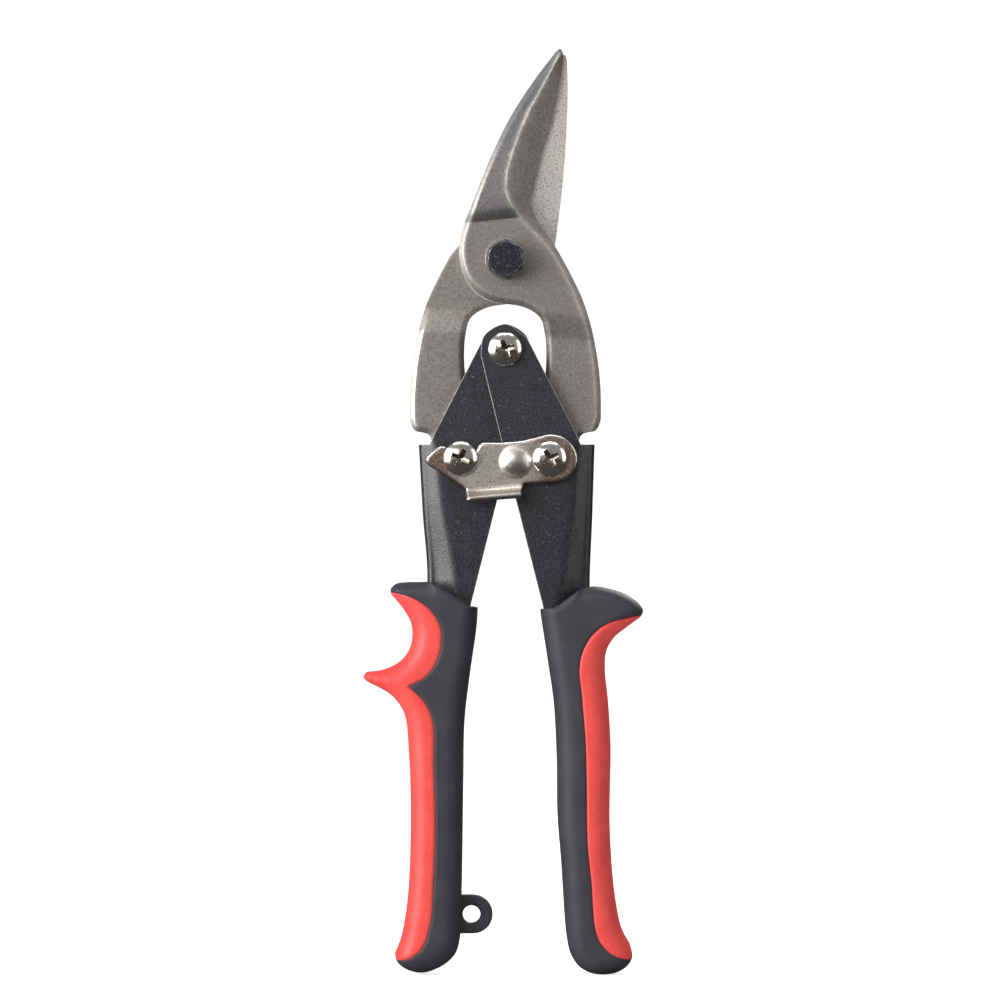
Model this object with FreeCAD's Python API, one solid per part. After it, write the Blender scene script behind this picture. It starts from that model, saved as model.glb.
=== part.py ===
"""Compound-action aviation snips, closed and latched, standing upright on the grips.

Z runs along the tool with the blade tips up, X across the handles, and the front faces -Y.
The plane Y = 0 is the shear plane, where the flat faces of the two blades meet.
"""
import FreeCAD
import Part
import math
import os

Vector = FreeCAD.Vector

# ---------------------------------------------------------------- driving dimensions (mm)
# Pivots of the linkage, in the closed state
PIVOT_Z = 192.8          # main bolt through the two blades, on the centre line
FULCRUM_Z = 168.5        # screw where the handles cross, on the centre line
LINK_X = 12.0            # link screws, one on each side of the centre line
LINK_Z = 139.1

# Sheet-steel handles
SHEET = 2.0              # sheet thickness
CHANNEL_INSIDE = 7.1     # clear width inside a channel, along Y
WEB_TOP_Z = 142.9        # where the folded web begins
CHANNEL_END_Z = 24.0     # where the channel ends inside the grip
WEB_FILLET = 5.0         # outside radius of the folds
WEB_INNER_FILLET = 1.2
RIGHT_LEAN = 0.6         # the right handle stands a little further out than the left one
LEFT_LEAN = -0.15
RIGHT_WAIST = 0.0        # how far a web draws in just above its grip
LEFT_WAIST = 1.0
WEB_EDGE_MIN = 80.0      # the edges along a web are longer than this, the others shorter
WEB_EDGE_X = 17.5        # and they lie further out than this
LOBE_R = 6.8             # round end of the plates at the fulcrum

# Forged blades and arms
SHEAR_GAP = 0.05         # half of the gap between the two flat faces
BLADE_THICK = 7.2
BOSS_THICK = 6.4
ARM_SHIFT = 2.4          # how far an arm reaches past the shear plane
ARM_CLEAR = 0.1          # side play of an arm inside its channel
EYE_R = 6.5              # round end of an arm at its link screw

# Fasteners
BOLT_R = 3.0
BOLT_HEX = 9.2           # across flats
BOLT_HEAD_H = 4.0
BOLT_CHAMFER_H = 2.1     # depth of the cone that rounds off the head's corners
BOLT_CHAMFER_R = 6.6     # radius of that cone at its foot
BOLT_NUT_H = 4.2
BOLT_PLAY = 0.4          # extra radius of the front blade's bolt hole
WASHER_R = 5.4
WASHER_H = 0.8
FULCRUM_R = 3.0
LINK_R = 2.6
THREAD_R = 2.0
SCREW_HEAD_R = 4.5
SCREW_HEAD_H = 2.3
SCREW_HEAD_RIM = 0.9     # straight part under the dome
CROSS_LONG, CROSS_WIDE, CROSS_DEEP = 4.8, 1.1, 1.0
NUT_HEX = 8.0
NUT_H = 3.6
FIT = 0.05               # radial clearance of a turning fit

# Latch
LATCH_THICK = 1.5
LATCH_WASHER_H = 0.5
LATCH_WASHER_R = 6.0
LATCH_PLAY = 0.05
SLOT_PLAY = 0.15         # round the left screw
HOOK_ANGLE = 57.0        # slope of the hook's inner side, degrees above the horizontal
DOME_X, DOME_Z = 2.8, 138.2
DOME_R = 4.2
DOME_H = 1.4
DOME_FLOOR = 0.8         # the hollow behind the dome, as a share of the plate's thickness
HOOK_TOP_Z = 142.3
TAB_REACH = 5.5          # thumb tab, outwards from the plate
TAB_LEFT, TAB_RIGHT = -10.4, 4.4

# Grips
GRIP_HALF = 10.0         # half of a grip's depth along Y
TAB_HALF = 2.5           # half of the hanging tab's thickness
HANG_HOLE_X, HANG_HOLE_Z = -9.1, 16.2
HANG_HOLE_R = 2.4
HANG_TAB_X = -8.6        # centre of the tab's round end
HANG_TAB_R = 5.2
HANG_ROOT_X = -13.5      # where the tab starts, inside the grip

# Opening spring
WIRE_R = 0.7
COIL_R = 4.4             # mean radius of the coil
COIL_TURNS = 2.0
COIL_PITCH = 1.6

THROUGH = 20.0           # beyond every surface along Y, for cuts that go right through

# ---------------------------------------------------------------- depth layout, worked out
RIGHT_REAR_IN = ARM_SHIFT + ARM_CLEAR                       # inner face of the right rear plate
RIGHT_FRONT_IN = RIGHT_REAR_IN - CHANNEL_INSIDE
RIGHT_FRONT_OUT = RIGHT_FRONT_IN - SHEET
RIGHT_REAR_OUT = RIGHT_REAR_IN + SHEET
LEFT_REAR_OUT = -RIGHT_FRONT_OUT
ARM_FRONT = RIGHT_FRONT_IN + ARM_CLEAR
LATCH_BACK = RIGHT_FRONT_OUT - LATCH_WASHER_H - 2 * LATCH_PLAY
LATCH_FRONT = LATCH_BACK - LATCH_THICK
LINK_HEAD_Y = LATCH_FRONT - LATCH_PLAY

os.makedirs("parts", exist_ok=True)


# ---------------------------------------------------------------- building helpers
def point(xz, y=0.0):
    return Vector(xz[0], y, xz[1])


def outline(start, *steps):
    """Closed outline in an XZ plane. A step is a corner, or a list of points of a smooth curve."""
    edges = []
    here = start
    for step in steps + (start,):
        if isinstance(step, list):
            curve = Part.BSplineCurve()
            curve.interpolate([point(here)] + [point(p) for p in step])
            edges.append(curve.toShape())
            here = step[-1]
        elif math.dist(here, step) > 1e-6:
            edges.append(Part.makeLine(point(here), point(step)))
            here = step
    return Part.Wire(edges)


def slab(wire, y_front, y_back):
    """An outline given thickness along Y."""
    face = Part.Face(wire)
    face.translate(Vector(0, y_front, 0))
    return face.extrude(Vector(0, y_back - y_front, 0))


def rod(x, z, radius, y_front, y_back):
    return Part.makeCylinder(radius, y_back - y_front, Vector(x, y_front, z), Vector(0, 1, 0))


def ring(x, z, radius, hole, y_front, y_back):
    return rod(x, z, radius, y_front, y_back).cut(rod(x, z, hole, y_front - 1, y_back + 1))


def hexagon(x, z, across_flats, y_front, y_back, turn=0.0):
    reach = across_flats / math.sqrt(3)
    corners = []
    for i in range(6):
        angle = math.radians(60 * i + turn)
        corners.append((x + reach * math.cos(angle), z + reach * math.sin(angle)))
    return slab(outline(*corners), y_front, y_back)


def side_profile(corners, x_from=-60.0, x_to=60.0):
    """A profile of (y, z) corners, carried along X."""
    loop = [Vector(x_from, y, z) for y, z in corners]
    face = Part.Face(Part.makePolygon(loop + loop[:1]))
    return face.extrude(Vector(x_to - x_from, 0, 0))


def shave(shape, plane, area, outward):
    """Cut away what lies in front of a sloping plane, inside an area given by (x, z) corners."""
    a, b, c = [Vector(*p) for p in plane]
    normal = (b - a).cross(c - a)
    loop = []
    for x, z in area:
        y = a.y - (normal.x * (x - a.x) + normal.z * (z - a.z)) / normal.y
        loop.append(Vector(x, y, z))
    tool = Part.Face(Part.makePolygon(loop + loop[:1])).extrude(Vector(0, outward * 30, 0))
    return shape.cut(tool)


def turned(shape):
    """Half a turn about the tool's long axis."""
    copy = shape.copy()
    copy.rotate(Vector(0, 0, 0), Vector(0, 0, 1), 180)
    return copy


def save(name, shape):
    shape.removeSplitter().exportStep("parts/" + name + ".step")


# ---------------------------------------------------------------- forged blades
def mirror_step(step, side):
    if isinstance(step, list):
        return [(side * x, z) for x, z in step]
    return (side * step[0], step[1])


def backwards(start, steps):
    """The same path walked from its other end: its new start and steps."""
    here = start
    turned_steps = []
    for step in steps:
        run = [here] + step if isinstance(step, list) else [here, step]
        here = run[-1]
        back = run[-2::-1]
        turned_steps.insert(0, back if isinstance(step, list) else back[0])
    return here, turned_steps


def arm_path(side):
    """From beside the boss down an arm's outer edge, round its eye and up to the top of the window."""
    lean = EYE_R * math.sin(math.radians(45))
    outer = [(20.8, 182.0), (23.3, 174.0), (24.9, 165.8), (25.7, 157.7), (25.8, 149.8)]
    shoulder = [(25.1, 147.6), (24.2, 146.6), (22.4, 146.2)]
    notch = [(21.0, 145.8), (20.2, 145.0)]
    eye = [(LINK_X + lean, LINK_Z - lean), (LINK_X, LINK_Z - EYE_R), (LINK_X - lean, LINK_Z - lean)]
    eye.append((LINK_X - EYE_R, LINK_Z))
    inner = [(10.6, 160.0), (11.1, 166.0), (10.9, 171.5), (10.1, 175.8)]
    window = [(9.2, 177.4), (7.0, 179.1), (4.0, 180.3), (0.0, 180.9)]
    steps = [outer, shoulder, notch, (LINK_X + EYE_R, LINK_Z), eye, (9.2, 153.0), inner, window]
    return mirror_step((16.9, 190.1), side), [mirror_step(step, side) for step in steps]


def forging(wire, front):
    """Blade, boss and arm cut from one outline, with the joggle that brings the arm into its channel."""
    profile = [(-SHEAR_GAP, 255), (-BLADE_THICK, 255), (-BLADE_THICK, 206.6), (-BOSS_THICK, 204.4),
               (-BOSS_THICK, 178.0), (ARM_FRONT, 172.5), (ARM_FRONT, 125), (ARM_SHIFT, 125),
               (ARM_SHIFT, 173.5), (-SHEAR_GAP, 179.0)]
    turn = 1 if front else -1
    solid = slab(wire, -THROUGH, THROUGH)
    return solid.common(side_profile([(turn * y, z) for y, z in profile]))


def front_blade():
    back_edge = [(-11.1, 202.2), (-8.4, 209.0), (-4.1, 219.8), (1.3, 231.0), (8.0, 241.4), (12.4, 247.2)]
    tip = [(13.9, 249.1), (15.0, 249.5), (15.7, 248.2)]
    cutting_edge = [(15.2, 243.5), (12.8, 231.7), (9.4, 220.0), (6.7, 207.9)]
    arm_top, arm = arm_path(1)
    throat = [(8.3, 203.9), (11.0, 199.8), (13.4, 196.3), arm_top] + arm[0]
    boss = [(-4.4, 182.0), (-8.2, 184.4), (-11.0, 188.2), (-12.4, 193.5), (-12.2, 198.2)]
    wire = outline((-12.2, 198.2), back_edge, tip, cutting_edge, throat, *arm[1:], boss)
    solid = forging(wire, True)
    ridge_low, ridge_high = (0.5, -7.0, 212.0), (15.3, -3.0, 248.5)
    edge_facet = [(0.5, 206.6), (0.5, 212.0), (15.7, 249.5), (30, 252), (30, 206.6)]
    solid = shave(solid, [ridge_low, ridge_high, (7.0, -1.2, 209.0)], edge_facet, -1)
    back_facet = [(0.5, 204.0), (0.5, 212.0), (15.7, 249.5), (10, 256), (-25, 240), (-25, 204.0)]
    solid = shave(solid, [ridge_low, ridge_high, (-8.4, -5.6, 209.0)], back_facet, -1)
    bevel = [(1.6, 208.0), (12.8, 194.4), (20, 200), (20, 208.0)]
    solid = shave(solid, [(1.6, -6.4, 208.0), (12.8, -6.4, 194.4), (9.0, -4.0, 203.5)], bevel, -1)
    solid = solid.cut(rod(0, PIVOT_Z, BOLT_R + BOLT_PLAY, -THROUGH, THROUGH))
    return solid.cut(rod(LINK_X, LINK_Z, LINK_R + FIT, -THROUGH, THROUGH))


def rear_blade():
    cutting_edge = [(-8.0, 203.4), (-3.0, 205.2), (2.6, 209.5), (6.6, 220.0), (10.8, 232.0), (15.0, 247.0)]
    tip = [(15.6, 248.1), (16.3, 248.0), (16.7, 246.4)]
    back_edge = [(16.9, 238.0), (16.5, 226.5), (15.8, 216.0), (14.6, 205.0), (13.4, 196.4)]
    boss = [(12.4, 191.0), (10.6, 186.8), (8.2, 184.4), (4.4, 182.0), (0.0, 180.9)]
    arm = backwards(*arm_path(-1))[1]
    arm_out = arm[-1] + [(-14.8, 193.8), (-12.4, 197.0)]
    wire = outline((-12.4, 197.0), cutting_edge, tip, back_edge, boss, *arm[:-1], arm_out)
    solid = forging(wire, False)
    ridge_low, ridge_high = (8.5, 7.0, 212.0), (16.2, 3.0, 247.5)
    edge_facet = [(8.5, 206.0), (8.5, 212.0), (16.4, 248.5), (10, 256), (-20, 230), (-20, 206.0)]
    solid = shave(solid, [ridge_low, ridge_high, (3.2, 1.2, 209.5)], edge_facet, 1)
    solid = solid.cut(rod(0, PIVOT_Z, BOLT_R, -THROUGH, THROUGH))
    return solid.cut(rod(-LINK_X, LINK_Z, LINK_R + FIT, -THROUGH, THROUGH))


# ---------------------------------------------------------------- folded handle channel
# Both channels are drawn on the right, and the left one is then turned into place. lean is outwards.
def web_line(lean, waist, inset=0.0):
    """Outer edge of a channel from its web top downwards, moved inwards by inset."""
    edge = [(23.5 + lean, WEB_TOP_Z), (22.9 + lean - waist / 2, 124.0), (22.2 + lean - waist, 106.0),
            (23.0, 88.0), (24.0, 66.0), (24.2, CHANNEL_END_Z)]
    return [(x - inset, z) for x, z in edge]


def channel_outline(lean, waist):
    web = web_line(lean, waist)
    lobe = [(-5.8, 172.0), (0.0, FULCRUM_Z + LOBE_R), (5.8, 171.7)]
    inner = [(16.6, 55.0), (14.6, 76.0), (9.6 + lean, 99.0)]
    return outline((-6.6, 166.9), lobe, (18.8, 146.4), (20.3, WEB_TOP_Z), web[0], web[1:],
                   (17.0, CHANNEL_END_Z), inner, (1.6 + lean, 130.7))


def web_edges(shape, y_levels):
    """Edges that run along the web at given Y levels."""
    found = []
    for edge in shape.Edges:
        box = edge.BoundBox
        flat = box.YLength < 0.01 and min(abs(box.YMin - y) for y in y_levels) < 0.01
        if flat and box.ZLength > WEB_EDGE_MIN and box.XMin > WEB_EDGE_X:
            found.append(edge)
    return found


def channel_envelope(lean, waist):
    """A channel as if it were solid, with its folded corners."""
    block = slab(channel_outline(lean, waist), RIGHT_FRONT_OUT, RIGHT_REAR_OUT)
    corners = web_edges(block, (RIGHT_FRONT_OUT, RIGHT_REAR_OUT))
    return block.makeFillet(WEB_FILLET, corners)


def channel(lean, waist):
    web = web_line(lean, waist, SHEET)
    below = (web[-1][0], 10.0)
    hollow = slab(outline((-30, 190), (60, 190), (60, WEB_TOP_Z), web[0], web[1:], below, (-30, 10.0)),
                  RIGHT_FRONT_IN, RIGHT_REAR_IN)
    corners = web_edges(hollow, (RIGHT_FRONT_IN, RIGHT_REAR_IN))
    hollow = hollow.makeFillet(WEB_INNER_FILLET, corners)
    shape = channel_envelope(lean, waist).cut(hollow)
    shape = shape.cut(rod(0, FULCRUM_Z, FULCRUM_R + FIT, -THROUGH, THROUGH))
    return shape.cut(rod(LINK_X, LINK_Z, LINK_R, -THROUGH, THROUGH))


# ---------------------------------------------------------------- grips
def left_grip_whole():
    inner_side = [(-7.7, 94.0), (-9.8, 79.0), (-11.0, 68.0), (-11.3, 52.0), (-11.7, 24.0), (-12.2, 9.9)]
    heel = [(-13.4, 5.7), (-16.1, 2.9), (-19.9, 1.0), (-23.0, 0.5), (-26.9, 1.5), (-29.2, 3.5), (-29.8, 5.6)]
    outer_side = [(-28.2, 9.7), (-26.4, 20.0), (-25.5, 40.0), (-26.0, 60.0), (-27.3, 70.5), (-30.6, 75.2),
                  (-37.4, 79.1)]
    low_horn = [(-38.3, 80.3), (-37.4, 81.5)]
    notch = [(-33.0, 82.1), (-28.3, 84.5), (-25.6, 88.4), (-25.2, 94.0), (-27.3, 98.3), (-30.8, 102.6)]
    top_horn = [(-30.9, 103.9), (-29.5, 105.3), (-26.0, 105.8)]
    collar = [(-17.0, 104.2), (-12.2, 101.3), (-9.2, 99.2)]
    wire = outline((-7.4, 98.9), inner_side + heel, outer_side, low_horn, notch, top_horn, (-20.8, 105.8),
                   collar)
    return slab(wire, -GRIP_HALF, GRIP_HALF)


def left_insert_area():
    top = [(-30.8, 103.1), (-25.4, 101.8), (-20.9, 99.1), (-17.6, 94.3), (-17.2, 89.5), (-18.4, 84.6),
           (-21.2, 80.6), (-26.0, 77.9)]
    low = [(-21.4, 73.2), (-19.4, 68.0), (-19.2, 56.0), (-18.8, 41.0), (-19.2, 27.0), (-20.2, 13.5),
           (-22.5, 7.2), (-26.0, 4.6), (-31.0, 4.0)]
    return slab(outline((-33.0, 103.4), top, low, (-50, 4.0), (-50, 103.4)), -THROUGH, THROUGH)


def right_grip_whole():
    collar = [(13.7, 99.3), (17.2, 101.8), (20.8, 104.2)]
    horn = [(24.0, 104.6), (28.5, 103.9), (32.6, 102.5), (35.8, 100.3), (37.2, 98.0), (36.5, 96.4)]
    outer_side = [(32.4, 93.4), (29.2, 90.7), (27.2, 87.0), (26.9, 82.0), (27.7, 74.0), (28.4, 62.0),
                  (28.2, 40.0), (29.5, 22.0), (31.5, 12.2), (33.7, 8.1)]
    heel = [(34.3, 5.0), (33.2, 2.6), (30.4, 0.7), (26.4, 0.0), (22.6, 0.6), (19.6, 2.5), (17.5, 5.9)]
    inner_side = [(16.6, 9.9), (16.1, 14.5), (15.1, 30.0), (14.1, 43.0), (13.9, 58.0), (13.1, 73.2),
                  (11.5, 84.5), (9.6, 96.8)]
    wire = outline((9.5, 98.4), collar, horn, outer_side, heel + inner_side)
    return slab(wire, -GRIP_HALF, GRIP_HALF)


def right_insert_area():
    edge = [(37.0, 96.9), (32.6, 96.1), (27.5, 94.7), (23.7, 91.9), (21.0, 87.6), (19.9, 82.5), (20.5, 76.0),
            (21.5, 64.0), (21.9, 50.0), (22.1, 36.0), (23.2, 24.5), (24.0, 13.8), (25.4, 9.2), (28.6, 5.9),
            (32.6, 4.4), (37.0, 4.6)]
    return slab(outline((40.0, 97.2), edge, (50, 4.6), (50, 97.2)), -THROUGH, THROUGH)


def hanging_tab():
    """Tab with its hole, standing off the inner side of the left grip."""
    body = rod(HANG_TAB_X, HANG_HOLE_Z, HANG_TAB_R, -TAB_HALF, TAB_HALF)
    low, high = HANG_HOLE_Z - HANG_TAB_R, HANG_HOLE_Z + HANG_TAB_R
    neck = outline((HANG_ROOT_X, low), (HANG_TAB_X, low), (HANG_TAB_X, high), (HANG_ROOT_X, high))
    return body.fuse(slab(neck, -TAB_HALF, TAB_HALF))


# ---------------------------------------------------------------- fasteners
def pan_head(x, z, y_seat, turn):
    """Domed head with a cross recess. The seat faces the plate, the dome faces -Y."""
    dome_h = SCREW_HEAD_H - SCREW_HEAD_RIM
    dome_r = (SCREW_HEAD_R ** 2 + dome_h ** 2) / (2 * dome_h)
    head = rod(x, z, SCREW_HEAD_R, y_seat - SCREW_HEAD_H, y_seat)
    head = head.common(Part.makeSphere(dome_r, Vector(x, y_seat - SCREW_HEAD_H + dome_r, z)))
    for angle in (turn, turn + 90):
        slot = Part.makeBox(CROSS_LONG, 2 * CROSS_DEEP, CROSS_WIDE,
                            Vector(-CROSS_LONG / 2, -CROSS_DEEP, -CROSS_WIDE / 2))
        slot.rotate(Vector(0, 0, 0), Vector(0, 1, 0), -angle)
        slot.translate(Vector(x, y_seat - SCREW_HEAD_H, z))
        head = head.cut(slot)
    return head


def shoulder_screw(x, z, y_seat, y_shoulder, radius, turn):
    """Pan head, smooth shoulder and a thinner threaded tail for the nut."""
    shank = rod(x, z, radius, y_seat, y_shoulder)
    tail = rod(x, z, THREAD_R, y_shoulder, y_shoulder + NUT_H + 0.5)
    return pan_head(x, z, y_seat, turn).fuse([shank, tail])


def screw_nut(x, z, y_seat, turn):
    nut = hexagon(x, z, NUT_HEX, y_seat, y_seat + NUT_H, turn)
    return nut.cut(rod(x, z, THREAD_R, y_seat - 1, y_seat + THROUGH))


def pivot_bolt():
    seat = -BOSS_THICK - WASHER_H
    nut_end = BOSS_THICK + WASHER_H + BOLT_NUT_H
    head = hexagon(0, PIVOT_Z, BOLT_HEX, seat - BOLT_HEAD_H, seat, 30)
    cone = Part.makeCone(BOLT_HEX / 2 - 0.1, BOLT_CHAMFER_R, BOLT_CHAMFER_H,
                         Vector(0, seat - BOLT_HEAD_H, PIVOT_Z), Vector(0, 1, 0))
    chamfered = cone.fuse(rod(0, PIVOT_Z, BOLT_HEX, seat - BOLT_HEAD_H + BOLT_CHAMFER_H, seat))
    return head.common(chamfered).fuse(rod(0, PIVOT_Z, BOLT_R, seat, nut_end + 0.6))


# ---------------------------------------------------------------- latch
def latch():
    slope = math.radians(HOOK_ANGLE)
    gap = LINK_R + SLOT_PLAY
    near = (-LINK_X - gap * math.sin(slope), LINK_Z - gap * math.cos(slope))
    rise = (HOOK_TOP_Z - near[1]) / math.sin(slope)
    hook_top = (near[0] - rise * math.cos(slope), HOOK_TOP_Z)
    slot_right = (-LINK_X + gap, LINK_Z + 0.4)
    bottom = [(-13.2, LINK_Z - gap + 0.28), (-LINK_X + 0.1, LINK_Z - gap), (-10.2, LINK_Z - gap * 0.78)]
    bottom.append(slot_right)
    plate = outline(hook_top, near, bottom, (-7.4, 141.9),
                    [(-6.9, 142.9), (-6.0, 143.4)], (-1.1, 143.4),
                    [(4.0, 143.8), (8.0, 144.7), (12.2, 145.6), (16.2, 144.5), (18.8, 141.6), (19.4, 138.4),
                     (17.9, 134.9), (15.6, 133.2), (13.0, 132.6)],
                    (5.2, 132.3), (4.7, 131.0), (TAB_LEFT, 130.3), (-11.2, 131.3), (-13.3, 132.8),
                    (-20.4, 137.1), [(-21.3, 138.2), (-21.1, 139.4), (-20.2, 140.5)], (-18.6, 141.8))
    shape = slab(plate, LATCH_FRONT, LATCH_BACK)
    # pressed dome, hollow behind
    ball_r = (DOME_R ** 2 + DOME_H ** 2) / (2 * DOME_H)
    ball_y = LATCH_FRONT - DOME_H + ball_r
    cap = Part.makeSphere(ball_r, Vector(DOME_X, ball_y, DOME_Z))
    cap = cap.common(rod(DOME_X, DOME_Z, DOME_R + 1, LATCH_FRONT - DOME_H - 1, LATCH_FRONT + 0.2))
    hollow = Part.makeSphere(ball_r, Vector(DOME_X, ball_y + LATCH_THICK * DOME_FLOOR, DOME_Z))
    hollow = hollow.common(rod(DOME_X, DOME_Z, DOME_R + 1, LATCH_FRONT - 1, LATCH_BACK + 1))
    shape = shape.fuse(cap).cut(hollow)
    # thumb tab, bent outwards and a little downwards
    tab = side_profile([(LATCH_BACK, 132.5), (LATCH_BACK, 130.2), (LATCH_BACK - 0.6, 129.4),
                        (LATCH_FRONT - TAB_REACH, 127.9), (LATCH_FRONT - TAB_REACH - 0.1, 129.3),
                        (LATCH_FRONT - 0.3, 130.8), (LATCH_FRONT, 132.5)], TAB_LEFT, TAB_RIGHT)
    return shape.fuse(tab).cut(rod(LINK_X, LINK_Z, LINK_R + FIT, -THROUGH, THROUGH))


# ---------------------------------------------------------------- opening spring
def wire_run(points):
    """Round wire along a row of straight stretches."""
    pieces = []
    for a, b in zip(points[:-1], points[1:]):
        pieces.append(Part.makeCylinder(WIRE_R, (b - a).Length, a, b - a))
        pieces.append(Part.makeSphere(WIRE_R, b))
    return pieces


def torsion_spring():
    """Coil round the fulcrum screw with a leg down the inside of each handle."""
    height = COIL_TURNS * COIL_PITCH
    path = Part.makeHelix(COIL_PITCH, height, COIL_R)
    start = Vector(COIL_R, 0, 0)
    circle = Part.Wire(Part.makeCircle(WIRE_R, start, Vector(0, 1, 0)))
    coil = Part.Wire(path.Edges).makePipeShell([circle], True, True)
    coil.rotate(Vector(0, 0, 0), Vector(1, 0, 0), -90)
    coil.translate(Vector(0, -height / 2, FULCRUM_Z))
    front, back = -height / 2, height / 2
    parts = [coil]
    for side, y in ((1, front), (1, back)):
        parts.append(Part.makeSphere(WIRE_R, Vector(COIL_R * side, y, FULCRUM_Z)))
    left_leg = [Vector(COIL_R, front, FULCRUM_Z), Vector(2.4, front, 150.0), Vector(-2.8, front, 134.0),
                Vector(-18.6, front, 118.0)]
    right_leg = [Vector(COIL_R, back, FULCRUM_Z), Vector(3.6, back, 134.0), Vector(18.6, back, 118.0)]
    for leg in (left_leg, right_leg):
        parts += wire_run(leg)
    return parts[0].fuse(parts[1:])


# ---------------------------------------------------------------- write every sub-part
def build():
    save("front_blade", front_blade())
    save("rear_blade", rear_blade())
    save("right_handle_channel", channel(RIGHT_LEAN, RIGHT_WAIST))
    save("left_handle_channel", turned(channel(LEFT_LEAN, LEFT_WAIST)))

    left = left_grip_whole().cut(turned(channel_envelope(LEFT_LEAN, LEFT_WAIST)))
    red_left = left_insert_area()
    hole = rod(HANG_HOLE_X, HANG_HOLE_Z, HANG_HOLE_R, -THROUGH, THROUGH)
    black_left = left.cut(red_left).fuse(hanging_tab()).cut(hole)
    save("left_grip", black_left)
    save("left_grip_insert", left.common(red_left))
    right = right_grip_whole().cut(channel_envelope(RIGHT_LEAN, RIGHT_WAIST))
    red_right = right_insert_area()
    save("right_grip", right.cut(red_right))
    save("right_grip_insert", right.common(red_right))

    save("pivot_bolt", pivot_bolt())
    boss, washer_end = BOSS_THICK, BOSS_THICK + WASHER_H
    save("pivot_washer_front", ring(0, PIVOT_Z, WASHER_R, BOLT_R, -washer_end, -boss))
    save("pivot_washer_rear", ring(0, PIVOT_Z, WASHER_R, BOLT_R, boss, washer_end))
    nut = hexagon(0, PIVOT_Z, BOLT_HEX, washer_end, washer_end + BOLT_NUT_H, 12)
    save("pivot_nut", nut.cut(rod(0, PIVOT_Z, BOLT_R, 0, THROUGH)))

    plate_seat = RIGHT_FRONT_OUT - LATCH_PLAY
    save("fulcrum_screw", shoulder_screw(0, FULCRUM_Z, plate_seat, LEFT_REAR_OUT, FULCRUM_R, 20))
    save("fulcrum_nut", screw_nut(0, FULCRUM_Z, LEFT_REAR_OUT, 8))
    save("left_link_screw", shoulder_screw(-LINK_X, LINK_Z, LINK_HEAD_Y, LEFT_REAR_OUT, LINK_R, 66))
    save("left_link_nut", screw_nut(-LINK_X, LINK_Z, LEFT_REAR_OUT, 20))
    save("right_link_screw", shoulder_screw(LINK_X, LINK_Z, LINK_HEAD_Y, RIGHT_REAR_OUT, LINK_R, 31))
    save("right_link_nut", screw_nut(LINK_X, LINK_Z, RIGHT_REAR_OUT, 41))

    save("latch_washer", ring(LINK_X, LINK_Z, LATCH_WASHER_R, LINK_R + FIT,
                              plate_seat - LATCH_WASHER_H, plate_seat))
    save("latch", latch())
    save("torsion_spring", torsion_spring())


build()
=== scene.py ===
"""Looks of the aviation snips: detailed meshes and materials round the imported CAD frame.

Shapes are written in millimetres and scaled to metres when a mesh is made. As in the CAD, Z runs up the
tool, X across the handles, the front faces -Y, and Y = 0 is the blades' shear plane.
"""
import bpy
import math
import numpy as np
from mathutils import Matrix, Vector
from mathutils.geometry import delaunay_2d_cdt


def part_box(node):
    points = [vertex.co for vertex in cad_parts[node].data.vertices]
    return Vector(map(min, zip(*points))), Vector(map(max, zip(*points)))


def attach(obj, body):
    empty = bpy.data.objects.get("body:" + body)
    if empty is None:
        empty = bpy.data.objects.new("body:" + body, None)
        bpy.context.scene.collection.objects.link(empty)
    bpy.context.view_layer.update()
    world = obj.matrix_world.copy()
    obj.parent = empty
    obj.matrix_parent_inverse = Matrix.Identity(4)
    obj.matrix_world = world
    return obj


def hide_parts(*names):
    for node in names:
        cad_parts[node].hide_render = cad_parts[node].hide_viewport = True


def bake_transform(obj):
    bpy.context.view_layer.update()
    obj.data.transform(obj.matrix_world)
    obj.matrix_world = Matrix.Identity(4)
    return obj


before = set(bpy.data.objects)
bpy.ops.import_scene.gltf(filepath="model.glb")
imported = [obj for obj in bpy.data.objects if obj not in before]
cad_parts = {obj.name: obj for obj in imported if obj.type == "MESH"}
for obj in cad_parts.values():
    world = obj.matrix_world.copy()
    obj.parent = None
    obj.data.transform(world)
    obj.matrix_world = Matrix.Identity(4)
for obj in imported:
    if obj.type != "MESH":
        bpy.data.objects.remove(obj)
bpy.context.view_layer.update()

MM = 0.001
PIVOT_Z, FULCRUM_Z = 192.8, 168.5
LINK_X, LINK_Z = 12.0, 139.1
SHEAR_GAP = 0.05
BLADE_THICK, BOSS_THICK = 7.6, 6.3
ARM_FRONT, ARM_REACH = 4.5, 2.4
GRIP_HALF = 10.0
PIVOT_HOLE, LINK_EYE = 3.4, 2.65


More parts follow.
